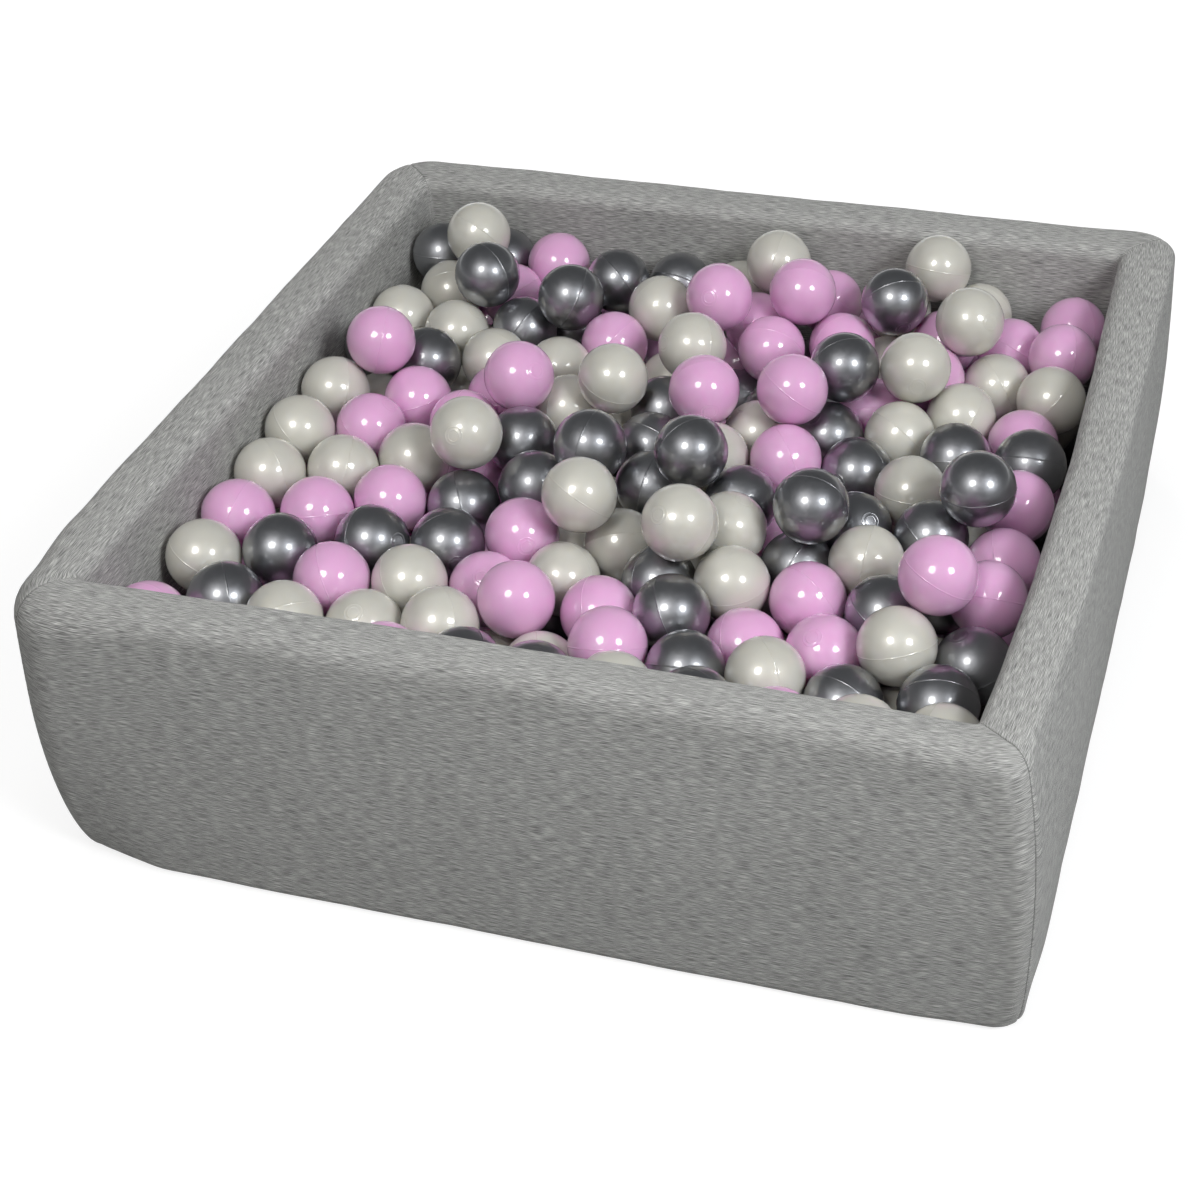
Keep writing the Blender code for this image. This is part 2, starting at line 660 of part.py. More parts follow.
def resting_place(spot, bed):
    """Where a ball that comes down at spot comes to rest, and which bed ball is its seat.

    The seat is None for a ball that comes to rest on the bed's flat top.
    """
    offset = np.sqrt(((bed[:, :2] - spot) ** 2).sum(axis=1))
    reach = np.sqrt(np.clip(BALL_SPACING**2 - offset**2, 0, None))
    heights = np.where(offset < BALL_SPACING, bed[:, 2] + reach, 0.0)
    seat = int(heights.argmax())
    flat_height = BED_TOP + BALL_RADIUS + GAP
    if heights[seat] > flat_height:
        return np.array((*spot, heights[seat])), seat
    return np.array((*spot, flat_height)), None


def free_place(home, bed, placed):
    """The resting place nearest to home that no placed ball is above, below or on the seat of."""
    taken = [seat for _, seat in placed.values() if seat is not None]
    others = np.array([place[:2] for place, _ in placed.values()]).reshape(-1, 2)
    step = BALL_RADIUS * SEAT_STEP_SHARE
    for ring in range(int(2 * BALL_REACH / step)):
        for spoke in range(SEAT_SPOKES):
            angle = 2 * math.pi * spoke / SEAT_SPOKES
            spot = home[:2] + ring * step * np.array((math.cos(angle), math.sin(angle)))
            apart = np.sqrt(((others - spot) ** 2).sum(axis=1))
            if np.abs(spot).max() > BALL_REACH or (apart < BALL_SPACING).any():
                continue
            place, seat = resting_place(spot, bed)
            if seat not in taken:
                return place, seat
    return None


def drop_loose(homes, bed):
    """Brings each loose ball down onto the bed. Returns the place and seat of each, by its number."""
    placed = {}
    for number, home in enumerate(homes, start=1):
        found = free_place(home, bed, placed)
        if found:
            placed[number] = found
    return placed


def pole_turn(direction):
    """The rotation that turns a ball's pole to direction."""
    return Vector((0, 0, 1)).rotation_difference(Vector(direction))


def add_ball(shape, place, turn):
    """A bed ball in shape, its pole turned by turn. Returns its vertices."""
    made = bmesh.ops.create_uvsphere(
        shape,
        u_segments=BED_BALL_SEGMENTS,
        v_segments=BED_BALL_RINGS,
        radius=BALL_RADIUS,
        matrix=Matrix.LocRotScale(Vector(place), turn, None),
    )
    return made["verts"]


def draw_out(verts, place):
    """Draws the lowest part of an upright ball out into a stalk that ends in the bed's base."""
    middle = Vector(place[:2])
    for vert in verts:
        if vert.co.z > place[2] - LOWEST_RING + GAP:
            continue
        out = vert.co.xy - middle
        on_ring = out.length > GAP
        vert.co.xy = middle + out.normalized() * BED_STALK_RADIUS if on_ring else middle
        vert.co.z = BED_TOP - BED_ROOT if on_ring else BED_TOP - 2 * BED_ROOT


def add_stalk(shape, place):
    """A stalk from the middle of a ball down into the bed's base."""
    foot = BED_TOP - BED_ROOT
    bmesh.ops.create_cone(
        shape,
        cap_ends=True,
        segments=STALK_SEGMENTS,
        radius1=BED_STALK_RADIUS,
        radius2=BALL_RADIUS / 2,
        depth=place[2] - foot,
        matrix=Matrix.Translation((place[0], place[1], (place[2] + foot) / 2)),
    )


def add_bed(bed, placed):
    """The balls that stay, as one solid: a filled base, and the balls that rise from it."""
    half = FLOOR_HALF
    base = box_mesh("ball_bed", (-half, -half, BED_BOTTOM), (half, half, BED_TOP), 0.0, BED_EDGE_RADIUS)
    solid = add_object("ball_bed", base, "ball_bed")
    carried = {seat: place for place, seat in placed.values()}
    balls, stalks = bmesh.new(), bmesh.new()
    for row, place in enumerate(bed):
        raised = place[2] - LOWEST_RING > BED_TOP - BED_ROOT
        turn = pole_turn(carried[row] - place) if row in carried else None
        verts = add_ball(balls, place, turn)
        if raised and turn:
            add_stalk(stalks, place)
        elif raised:
            draw_out(verts, place)
    combine(solid, add_helper("bed_stalks", mesh_from("bed_stalks", stalks)), "UNION")
    combine(solid, add_helper("bed_balls", mesh_from("bed_balls", balls)), "UNION", overlapping=True)


def add_loose(placed, colours, bed):
    """The balls that lie free on top, each with a pole on what carries it."""
    shape = bmesh.new()
    bmesh.ops.create_uvsphere(
        shape, u_segments=LOOSE_BALL_SEGMENTS, v_segments=LOOSE_BALL_RINGS, radius=BALL_RADIUS
    )
    plain = mesh_from("ball", shape)
    for number, (place, seat) in placed.items():
        colour = colours[number - 1]
        ball = add_object(f"ball_{number:02d}_{colour}", plain.copy(), f"ball_{colour}")
        ball.location = place
        ball.rotation_mode = "QUATERNION"
        ball.rotation_quaternion = pole_turn((0, 0, -1) if seat is None else bed[seat] - place)


def add_balls():
    """The heap of balls in the pit."""
    pixels, colours, layers = read_balls()
    places = settle(pixels, layers)
    lowest = BED_TOP + LEAST_DOME_HEIGHT - BALL_RADIUS
    bed = fill_holes(places[layers < 2], lowest)
    bed = bed[bed[:, 2] >= lowest]
    placed = drop_loose(places[layers == 2], bed)
    add_bed(bed, placed)
    add_loose(placed, [colour for colour, layer in zip(colours, layers) if layer == 2], bed)


back_cover = add_walls()
add_floor()
add_zip(back_cover)
add_balls()
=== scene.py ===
"""The ball pit as the photograph shows it: jersey walls, loose glossy balls, a zip and the studio.

Metres, in the part's own frame. The walls' form and the balls' places repeat the source's sizes.
"""
import math

import bmesh
import bpy
import numpy as np
from mathutils import Matrix, Quaternion, Vector, noise


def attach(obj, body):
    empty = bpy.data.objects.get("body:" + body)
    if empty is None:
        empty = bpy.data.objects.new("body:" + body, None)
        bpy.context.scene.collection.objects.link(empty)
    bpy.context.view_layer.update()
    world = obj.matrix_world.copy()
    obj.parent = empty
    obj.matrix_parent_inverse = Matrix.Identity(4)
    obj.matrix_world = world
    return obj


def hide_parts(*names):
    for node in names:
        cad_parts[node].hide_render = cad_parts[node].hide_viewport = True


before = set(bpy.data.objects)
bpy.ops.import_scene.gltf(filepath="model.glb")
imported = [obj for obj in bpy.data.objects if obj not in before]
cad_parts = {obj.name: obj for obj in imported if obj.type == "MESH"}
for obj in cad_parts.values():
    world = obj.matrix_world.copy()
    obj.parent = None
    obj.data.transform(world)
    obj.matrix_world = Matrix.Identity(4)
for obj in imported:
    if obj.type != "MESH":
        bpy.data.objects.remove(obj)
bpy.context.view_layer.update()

# Sizes of the pit, as the source has them
PIT_WIDTH = 0.900
RIM_HEIGHT = 0.288
WALL_THICKNESS = 0.058
FLOOR_THICKNESS = 0.030
GAP = 0.0003
RIM_EDGE_RADIUS = 0.012
FOOT_EDGE_RADIUS = 0.012
INNER_FOOT_RADIUS = 0.008
CORNER_RADIUS = 0.055
FOOT_CORNER_RADIUS = 0.024
INNER_CORNER_RADIUS = 0.006
OUTER_SWELL = 0.003
RIM_SWELL = 0.003

# The foot of a corner is soft, and draws in towards the pit's middle. The draw starts at a height
# up the wall and at a reach along it. Each corner has its own share of the draw and of the radii
# in plan: front left, front right, back right and back left.
CORNER_DRAW_IN = 0.014
CORNER_DRAW_HEIGHT = 0.180
CORNER_REACH = 0.120
CORNER_DRAW_SHARES = (2.2, 0.6, 0.7, 1.0)
CORNER_RADIUS_SHARES = (1.0, 0.45, 0.8, 1.0)
INNER_DRAW_SHARE = 0.20
OUTER_DRAW_SHARE = 0.75

# Sizes of the heap of balls, as the source has them. Its layers' heights are those of ball centres.
BALL_RADIUS = 0.035
SURFACE_BELOW_RIM = 0.073
LAYER_RISE = 0.047
DEEP_LAYER_DROP = 0.043
BED_BALL_RISE = 0.012
FILL_BELOW_SURFACE = 0.026
FILL_DROP = 0.004
FILL_STEP_SHARE = 0.25

# How the balls settle: they move apart in every pass, and back to their sight lines in the first
SETTLE_PASSES = 600
FREE_PASSES = 450
PUSH_SHARE = 0.5
SIGHT_SHARE = 0.2
LEVEL_SHARE = 0.02

# Where the balls lie, as someone sees them who stands in front of the pit and to its right.
# The eye's place, the heights of the three layers and how far out the centres of balls can lie
# are in shares of half the pit's width. The rest describes the view in pixels.
EYE_SHARES = (1.2613, -3.6104, 2.9840)
LAYER_SHARES = (0.382, 0.478, 0.582)
REACH_SHARE = 0.7927
VIEW_TURN_DEG = 17.67
VIEW_TILT_DEG = 37.54
VIEW_ROLL_DEG = -2.27
VIEW_FOCAL_PIXELS = 2100.9
VIEW_CENTRE_PIXELS = (709.2, 618.6)
IMAGE_PIXELS = 1200

# Each ball is x, y, colour and layer: 0 is deep, 1 is the surface and 2 lies on top of it.
BALL_PIXELS = """
437 255 silver 1, 479 237 pearl 2, 503 256 silver 1, 559 269 pink 1, 621 277 silver 1
680 284 silver 1, 741 292 pearl 1, 781 265 pearl 2, 829 303 pink 1, 895 302 silver 2
943 273 pearl 2, 992 316 pearl 1, 1077 331 pink 1, 899 308 pearl 0, 450 294 pearl 1
488 275 silver 2, 513 293 pink 1, 571 295 silver 2, 578 306 pink 0, 632 307 silver 0
651 295 pearl 2, 715 300 pink 2, 757 327 pink 1, 801 301 pink 2, 851 336 pink 0
886 368 pearl 0, 947 344 pink 1, 968 325 pearl 2, 1016 348 pink 1, 1070 365 pink 1
398 317 pearl 1, 457 334 pearl 1, 490 320 pink 0, 524 330 silver 1, 612 347 pink 1
675 351 pink 0, 692 348 pearl 2, 742 363 pink 0, 772 345 pink 1, 840 343 pink 1
368 347 silver 0, 382 341 pink 2, 429 365 silver 1, 494 362 pearl 1, 561 370 pearl 1
624 384 silver 0, 740 400 silver 0, 846 368 silver 2, 916 371 pearl 2, 938 384 pink 1
1007 384 pearl 1, 975 376 pink 0, 336 390 pearl 1, 380 396 pearl 0, 416 400 pink 1
458 394 pearl 0, 500 399 pink 1, 520 380 pink 2, 568 408 pearl 1, 613 378 pearl 2
665 410 silver 1, 705 396 pink 2, 762 434 pearl 1, 791 396 pink 2, 833 438 silver 1
872 413 pink 1, 928 416 pink 0, 1061 404 pearl 1, 297 430 pearl 1, 368 427 pink 1
461 430 pink 1, 518 450 silver 1, 590 445 silver 2, 620 428 pearl 0, 657 447 silver 1
716 464 pearl 1, 785 468 pink 1, 900 437 pearl 1, 967 418 pearl 1, 1020 437 pink 1
268 473 pearl 1, 342 469 pearl 1, 412 458 pearl 1, 466 437 pearl 2, 495 466 silver 0
488 482 pink 0, 447 482 pink 0, 531 492 silver 1, 654 485 silver 1, 691 452 silver 2
703 500 pearl 0, 605 512 pearl 0, 856 470 silver 1, 951 460 silver 1, 1044 470 silver 1
239 514 pink 1, 320 514 pink 1, 390 500 pink 1, 462 503 silver 1, 580 495 pearl 2
679 524 pearl 2, 741 501 silver 1, 811 504 silver 2, 903 495 pearl 1, 978 492 silver 2
204 556 pearl 1, 281 554 silver 1, 377 541 silver 1, 450 546 silver 1, 523 541 pink 1
572 546 pearl 0, 618 548 pearl 1, 740 541 pearl 1, 775 527 pink 0, 857 531 silver 1
929 536 silver 1, 1032 513 pink 1, 152 619 pink 1, 218 598 silver 1, 255 590 pink 0
287 616 pearl 1, 337 579 pink 1, 413 585 pearl 1, 488 580 pink 1, 563 581 pearl 1
661 581 silver 1, 702 580 pearl 0, 734 586 pearl 1, 802 563 silver 1, 875 571 pearl 1
977 558 pearl 0, 948 581 silver 1, 1018 560 pink 1, 364 624 pearl 1, 440 625 pearl 1
516 615 pink 1, 604 613 pink 1, 680 620 silver 1, 748 638 pink 1, 805 605 pink 1
884 613 silver 1, 938 585 pink 2, 1004 608 pink 1, 379 663 pink 1, 459 666 silver 1
538 653 pearl 1, 617 653 pink 1, 690 668 silver 1, 768 683 pearl 1, 826 650 pink 1
903 657 pearl 1, 986 657 silver 1, 544 693 silver 1, 623 696 pearl 1, 701 712 silver 1
783 728 pink 1, 848 695 silver 1, 934 702 silver 1, 946 747 pearl 1, 859 741 pearl 1
889 720 pearl 0
"""

# Values that the sizes above give
HALF_WIDTH = PIT_WIDTH / 2
INNER_HALF = HALF_WIDTH - WALL_THICKNESS
SURFACE_HEIGHT = RIM_HEIGHT - SURFACE_BELOW_RIM
BALL_REACH = INNER_HALF - BALL_RADIUS - GAP
BALL_SPACING = 2 * BALL_RADIUS + GAP
LAYER_HEIGHTS = (SURFACE_HEIGHT - DEEP_LAYER_DROP, SURFACE_HEIGHT, SURFACE_HEIGHT + LAYER_RISE)


# Materials


def remapped(tree, value, old_range, new_range):
    """A value carried over from one range to another, in a node tree."""
    node = tree.nodes.new("ShaderNodeMapRange")
    tree.links.new(value, node.inputs["Value"])
    for end, old, new in zip(("Min", "Max"), old_range, new_range):
        node.inputs[f"From {end}"].default_value = old
        node.inputs[f"To {end}"].default_value = new
    return node.outputs["Result"]


class Shader:
    """A material under construction: its node tree, with short calls to add and link nodes."""

    def __init__(self, name, roughness, metallic=0.0):
        self.material = bpy.data.materials.new(name)
        self.material.use_nodes = True
        self.tree = self.material.node_tree
        self.main = self.tree.nodes["Principled BSDF"]
        self.set({"Roughness": roughness, "Metallic": metallic})
        self.place = self.add("ShaderNodeTexCoord").outputs["Object"]

    def add(self, kind, **settings):
        """A node with its settings."""
        node = self.tree.nodes.new(kind)
        for key, value in settings.items():
            setattr(node, key, value)
        return node

    def link(self, source, target):
        self.tree.links.new(source, target)

    def set(self, values):
        """Sets sockets of the shader itself."""
        for key, value in values.items():
            self.main.inputs[key].default_value = value

    def scaled(self, scale):
        """The material's coordinates, times scale."""
        node = self.add("ShaderNodeMapping")
        node.inputs["Scale"].default_value = scale
        self.link(self.place, node.inputs["Vector"])
        return node.outputs["Vector"]

    def noise(self, scale, detail, roughness=0.5):
        """A noise pattern's value, over the material's coordinates times scale."""
        node = self.add("ShaderNodeTexNoise")
        self.link(self.scaled(scale), node.inputs["Vector"])
        for key, value in (("Scale", 1.0), ("Detail", detail), ("Roughness", roughness)):
            node.inputs[key].default_value = value
        return node.outputs["Fac"]

    def ramp(self, value, *stops):
        """Colours along a value: each stop is a position and a grey or a colour."""
        node = self.add("ShaderNodeValToRGB")
        steps = node.color_ramp.elements
        while len(steps) < len(stops):
            steps.new(1.0)
        for step, (position, colour) in zip(steps, stops):
            step.position = position
            step.color = (*colour, 1.0) if hasattr(colour, "__len__") else (colour, colour, colour, 1.0)
        self.link(value, node.inputs["Fac"])
        return node.outputs["Color"]

    def blend(self, kind, share, first, second):
        """Two colours blended. share is a number or a socket, and so is each colour."""
        node = self.add("ShaderNodeMix", data_type="RGBA", blend_type=kind)
        for value, socket in ((share, 0), (first, 6), (second, 7)):
            if isinstance(value, bpy.types.NodeSocket):
                self.link(value, node.inputs[socket])
            elif hasattr(value, "__len__"):
                node.inputs[socket].default_value = (*value, 1.0)
            else:
                node.inputs[socket].default_value = value
        return node.outputs[2]

    def bump(self, height, distance, strength):
        """Sets the surface's relief from a height."""
        node = self.add("ShaderNodeBump")
        node.inputs["Distance"].default_value = distance
        node.inputs["Strength"].default_value = strength
        self.link(height, node.inputs["Height"])
        self.link(node.outputs["Normal"], self.main.inputs["Normal"])

    def colour(self, source):
        self.link(source, self.main.inputs["Base Color"])


# Melange jersey: how long and how thick its streaks of light and dark fibre are, the size of its
# clouds and its knit, and its greys. Each stop is a pattern's value and the grey there.
STREAK_LENGTH = 0.015
STREAK_WIDTH = 0.00046
FIBRE_LENGTH = 0.009
FIBRE_WIDTH = 0.00036
KNIT_PITCH = 0.0009
CLOUD_LENGTH = 0.110
CLOUD_WIDTH = 0.050
JERSEY_DARK = (0.158, 0.159, 0.156)
JERSEY_MIDDLE = (0.318, 0.318, 0.309)
JERSEY_LIGHT = (0.530, 0.530, 0.508)
STREAK_STOPS = ((0.33, JERSEY_DARK), (0.50, JERSEY_MIDDLE), (0.69, JERSEY_LIGHT))
FIBRE_STOPS = ((0.34, 0.33), (0.50, 0.50), (0.67, 0.71))
CLOUD_STOPS = ((0.30, 0.47), (0.70, 0.53))
FIBRE_SHARE = 0.8
CLOUD_SHARE = 0.6

# What is left of the grey along a seam, where painted shade darkens its groove, and how the jersey's surface
# takes the light
SEAM_PAINTED_SHADE = 0.70
JERSEY_ROUGHNESS = 0.85
JERSEY_FINISH = {"Sheen Weight": 0.06, "Sheen Roughness": 0.45, "Specular IOR Level": 0.16}
JERSEY_RELIEF = 0.0003
JERSEY_RELIEF_SHARE = 0.3
KNIT_SHARE = 0.5


def jersey():
    """Grey melange jersey whose streaks run along the cover, by the weave coordinates of its mesh, with
    painted shade along its seams.
    """
    made = Shader("jersey_melange", JERSEY_ROUGHNESS)
    made.set(JERSEY_FINISH)
    made.place = made.add("ShaderNodeAttribute", attribute_name="weave").outputs["Vector"]
    streaks = made.noise((1 / STREAK_LENGTH, 1 / STREAK_WIDTH, 1.0), 1.0)
    fibres = made.noise((1 / FIBRE_LENGTH, 1 / FIBRE_WIDTH, 1.0), 1.0)
    clouds = made.noise((1 / CLOUD_LENGTH, 1 / CLOUD_WIDTH, 1.0), 2.0)
    knit = made.noise((1 / KNIT_PITCH, 1 / KNIT_PITCH, 1.0), 1.0)
    base = made.ramp(streaks, *STREAK_STOPS)
    mixed = made.blend("OVERLAY", FIBRE_SHARE, base, made.ramp(fibres, *FIBRE_STOPS))
    clouded = made.blend("OVERLAY", CLOUD_SHARE, mixed, made.ramp(clouds, *CLOUD_STOPS))
    # Painted shade: the grey is darkened along each seam, where its groove lies
    seam = made.add("ShaderNodeAttribute", attribute_name="seam").outputs["Fac"]
    shade = made.ramp(seam, (0.0, 1.0), (1.0, SEAM_PAINTED_SHADE))
    made.colour(made.blend("MULTIPLY", 1.0, clouded, shade))
    made.bump(made.blend("MIX", KNIT_SHARE, fibres, knit), JERSEY_RELIEF, JERSEY_RELIEF_SHARE)
    return made.material


# Ball plastic. Each colour has its roughness, its share of metal, its darker tone as a share of the
# colour, and how far red, green and blue light travels inside it. Each range is that of the values
# that a pattern gives, and the roughness goes between two shares of itself with the scuffs.
BALL_FINISHES = {
    "pink": ((0.71, 0.40, 0.635), 0.44, 0.0, 0.95, (0.026, 0.014, 0.022)),
    "pearl": ((0.61, 0.60, 0.545), 0.42, 0.15, 0.93, (0.024, 0.022, 0.018)),
    "silver": ((0.33, 0.338, 0.36), 0.40, 1.0, 0.90, None),
}
BALL_COAT = {"Coat Weight": 1.0, "Coat IOR": 1.65, "Coat Roughness": 0.06}
TRANSLUCENCY = 0.50
BALL_CLOUD_SCALE = 14.0
BALL_CLOUD_RANGE = (0.30, 0.70)
SCUFF_SCALE = 260.0
SCUFF_RANGE = (0.35, 0.75)
SCUFF_ROUGHNESS_SHARES = (0.92, 1.15)
SCUFF_RELIEF = 0.0002
SCUFF_RELIEF_SHARE = 0.05


def ball_plastic(name, colour, roughness, metallic, shade, light_reach):
    """Moulded ball plastic with a clear gloss, a faint cloudiness and fine scuffs."""
    made = Shader(f"{name}_plastic", roughness, metallic)
    made.set(BALL_COAT)
    if light_reach:
        made.set({"Subsurface Weight": TRANSLUCENCY, "Subsurface Scale": 1.0})
        made.set({"Subsurface Radius": light_reach})
    clouds = made.noise((BALL_CLOUD_SCALE,) * 3, 2.0)
    darker = tuple(part * shade for part in colour)
    made.colour(made.ramp(clouds, *zip(BALL_CLOUD_RANGE, (darker, colour))))
    scuffs = made.noise((SCUFF_SCALE,) * 3, 4.0, 0.6)
    levels = [roughness * share for share in SCUFF_ROUGHNESS_SHARES]
    rough = remapped(made.tree, scuffs, SCUFF_RANGE, levels)
    made.link(rough, made.main.inputs["Roughness"])
    made.bump(scuffs, SCUFF_RELIEF, SCUFF_RELIEF_SHARE)
    return made.material


# The zip's plated metal, with its brush marks along the zip, and its nylon
METAL_ROUGHNESS = 0.32
METAL_STOPS = ((0.3, (0.40, 0.40, 0.41)), (0.7, (0.55, 0.55, 0.56)))
BRUSH_SCALE = (400.0, 4000.0, 4000.0)
BRUSH_RELIEF = 0.00005
NYLON_ROUGHNESS = 0.8


def zip_metal():
    """Grey plated metal, brushed along the zip."""
    made = Shader("zip_metal_plated", METAL_ROUGHNESS, 1.0)
    brushed = made.noise(BRUSH_SCALE, 2.0)
    made.colour(made.ramp(brushed, *METAL_STOPS))
    made.bump(brushed, BRUSH_RELIEF, 0.3)
    return made.material


def zip_nylon(name, dark, light, pitch):
    """Woven tape or moulded nylon, in greys with a fine weave."""
    made = Shader(name, NYLON_ROUGHNESS)
    weave = made.add("ShaderNodeTexWave", wave_type="BANDS", bands_direction="X")
    made.link(made.scaled((1 / pitch,) * 3), weave.inputs["Vector"])
    weave.inputs["Scale"].default_value = 1.0
    made.colour(made.ramp(weave.outputs["Fac"], (0.2, dark), (0.8, light)))
    made.bump(weave.outputs["Fac"], pitch / 6, 0.5)
    return made.material


MATERIALS = {
    "jersey": jersey(),
    # The seams' thread is darker than the jersey: partly the thread's own grey, partly painted shade of its
    # needle holes
    "thread": zip_nylon("sewing_thread_painted_shade", 0.09, 0.15, 0.0008),
    "metal": zip_metal(),
    "tape": zip_nylon("zip_tape_woven", 0.20, 0.30, 0.0009),
    "teeth": zip_nylon("zip_teeth_nylon", 0.16, 0.24, 0.0030),
}
for name, finish in BALL_FINISHES.items():
    MATERIALS[name] = ball_plastic(name, *finish)


def dress(obj, material, slot, body, *nodes):
    """Gives a new piece its material and its body, and hides the nodes it stands for. Its slot is not used.
    """
    obj.data.materials.append(MATERIALS[material])
    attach(obj, body)
    if nodes:
        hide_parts(*nodes)


def in_scene(name, data):
    """An object in the scene, for a mesh, a lamp or a camera."""
    made = bpy.data.objects.new(name, data)
    bpy.context.scene.collection.objects.link(made)
    return made


def new_object(name, mesh):
    """A piece in the scene, shaded smooth."""
    mesh.shade_smooth()
    return in_scene(name, mesh)


def grid_mesh(name, columns):
    """A skin over columns of points, each a closed section, with both ends filled."""
    count = len(columns[0])
    points = [tuple(point) for column in columns for point in column]
    faces = []
    for left in range(len(columns) - 1):
        for k in range(count):
            after = (k + 1) % count
            start = left * count
            faces.append((start + k, start + count + k, start + count + after, start + after))
    faces.append(tuple(range(count)))
    faces.append(tuple((len(columns) - 1) * count + k for k in reversed(range(count))))
    mesh = bpy.data.meshes.new(name)
    mesh.from_pydata(points, [], faces)
    shape = bmesh.new()
    shape.from_mesh(mesh)
    bmesh.ops.recalc_face_normals(shape, faces=shape.faces)
    shape.to_mesh(mesh)
    shape.free()
    return mesh


# The walls. Their covers are modelled finer than the part's, in the same form.

# How finely: steps of an arc, of a corner, which crowd towards its seam, and along a wall; and steps
# up the outer face, over the rim, down the inner face and under the foot
ARC_STEPS = 8
CORNER_STEPS = 16
CORNER_CROWDING = 1.5
WALL_STEP = 0.008
RUN_COUNTS = (104, 8, 54, 10)

# The rims' outer edge radii as shares of the plain one, along the walls and at their corners, and
# how far from a corner its radius fades into the wall's own
RIM_EDGE_SHARES = (1.30, 0.55, 1.00, 1.20)
CORNER_RIM_SHARES = (2.30, 1.30, 0.80, 1.10)
RIM_BLENDS = (0.110, 0.040, 0.090, 0.090)

# How far the front and right walls' tops lean in at five places along them: at the rim's outer
# and at its inner edge. The front's run from left to right, and the right's from front to back.
# The lean fades in across the pit from a distance off its middle, and grows with a power of height.
FRONT_LEANS = ((0.003, 0.013, 0.018, 0.018, 0.014), (0.002, 0.006, 0.006, 0.005, 0.001))
RIGHT_LEANS = ((0.021, 0.005, 0.0, 0.0, 0.0), (0.009, -0.006, -0.011, -0.007, 0.0))
LEAN_FROM = 0.30
INNER_LEAN_POWER = 4
FRONT_LEAN_POWER = 2
RIGHT_LEAN_POWER = 5

# How much rounder each corner is at its very foot, and how high that reaches
FOOT_ROUNDS = (0.0, 0.028, 0.0, 0.0)
FOOT_ROUND_HEIGHT = 0.060

# How far each corner's seam is turned towards the wall that follows, on the faces and at the rim,
# and half the gap that it leaves between the covers
SEAM_TURNS_DEG = (0.0, 14.0, 0.0, 0.0)
SEAM_RIM_TURNS_DEG = (0.0, 40.0, 0.0, 0.0)
SEAM_TURN_POWER = 8
SEAM_GAP = 0.00004

# The cover's relief: its groove along each seam, the folds beside the seam, whose heights go by the
# corner and whose shares go by the wall and its end, and its faint waves
SEAM_GROOVE = 0.0009
SEAM_REACH = 0.0030
FOLD_HEIGHTS = (0.00022, 0.00060, 0.00025, 0.00030)
SEAM_FOLD_SHARES = ((0.15, 1.0), (0.0, 0.5), (0.15, 0.5), (0.15, 0.5))
FOLD_PEAK = 0.0065
FOLD_LENGTHS = (0.0094, 0.0067, 0.0151)
FOLD_RISE = 0.0065
FOLD_REACH = 0.016
WAVES = ((0.090, 0.0011), (0.034, 0.0004))
WAVE_FADE = 0.060
ZIP_CALM_HEIGHT = 0.085

# The cloth: how far the painted shade along a seam reaches, how far each wall's streaks droop to its left
# end, how far apart the walls' patterns and waves are taken from, and which wall is the back one
SEAM_PAINTED_SHADE_REACH = 0.0012
CLOTH_DROOPS = (0.016, 0.0, 0.0, 0.0)
CLOTH_OFFSET = 10.0
WAVE_OFFSET = 2.0
BACK_WALL = 2


def arc(centre_in, centre_up, radius, start_deg, end_deg):
    """Points of an arc in a wall's section, both ends included."""
    turns = [start_deg + (end_deg - start_deg) * k / ARC_STEPS for k in range(ARC_STEPS + 1)]
    return [
        (centre_in + radius * math.cos(math.radians(a)), centre_up + radius * math.sin(math.radians(a)))
        for a in turns
    ]


def between(start, end, count):
    """Evenly spaced points between two, neither included."""
    return [tuple(a + (b - a) * k / count for a, b in zip(start, end)) for k in range(1, count)]


def swollen(out, up):
    """Moves a point of the plain wall section to where the stuffing holds it."""
    across = (out - INNER_HALF) / WALL_THICKNESS
    rise = up / RIM_HEIGHT
    side = OUTER_SWELL * 4 * rise * (1 - rise)
    crown = RIM_SWELL * 4 * across * (1 - across) * max(0, 2 * rise - 1)
    return out + side * across, up + crown


def wall_section(outer_rim):
    """A wall's section as distance out and height pairs, with its outer rim edge rounded so far."""
    inner, outer = INNER_HALF, HALF_WIDTH
    rim, foot, inner_foot = RIM_EDGE_RADIUS, FOOT_EDGE_RADIUS, INNER_FOOT_RADIUS
    pieces = [
        arc(outer - foot, foot, foot, -90, 0),
        arc(outer - outer_rim, RIM_HEIGHT - outer_rim, outer_rim, 0, 90),
        arc(inner + rim, RIM_HEIGHT - rim, rim, 90, 180),
        arc(inner + inner_foot, inner_foot, inner_foot, 180, 270),
    ]
    points = []
    for piece, after, count in zip(pieces, pieces[1:] + pieces[:1], RUN_COUNTS):
        points += piece + between(piece[-1], after[0], count)
    return [swollen(out, up) for out, up in points]


def fallen(share):
    """How far a quarter round has fallen away, from 0 where it begins to 1 at its end."""
    return 1 - math.sqrt(max(0.0, 1 - share**2))


def corner_draw(across, up):
    """How far a corner's foot is drawn in, along each wall. Its inner face stays where it is."""
    weight = (across - INNER_DRAW_SHARE) / (OUTER_DRAW_SHARE - INNER_DRAW_SHARE)
    drop = 1 - min(up / CORNER_DRAW_HEIGHT, 1)
    return CORNER_DRAW_IN * math.sqrt(0.5) * fallen(drop) * min(max(weight, 0), 1)


def corner_radius(up, corner):
    """A corner's outer radius at a height. Some corners are rounder at their foot."""
    radius = FOOT_CORNER_RADIUS + (CORNER_RADIUS - FOOT_CORNER_RADIUS) * up / RIM_HEIGHT
    drop = 1 - min(up / FOOT_ROUND_HEIGHT, 1)
    return radius * CORNER_RADIUS_SHARES[corner] + FOOT_ROUNDS[corner] * fallen(drop)


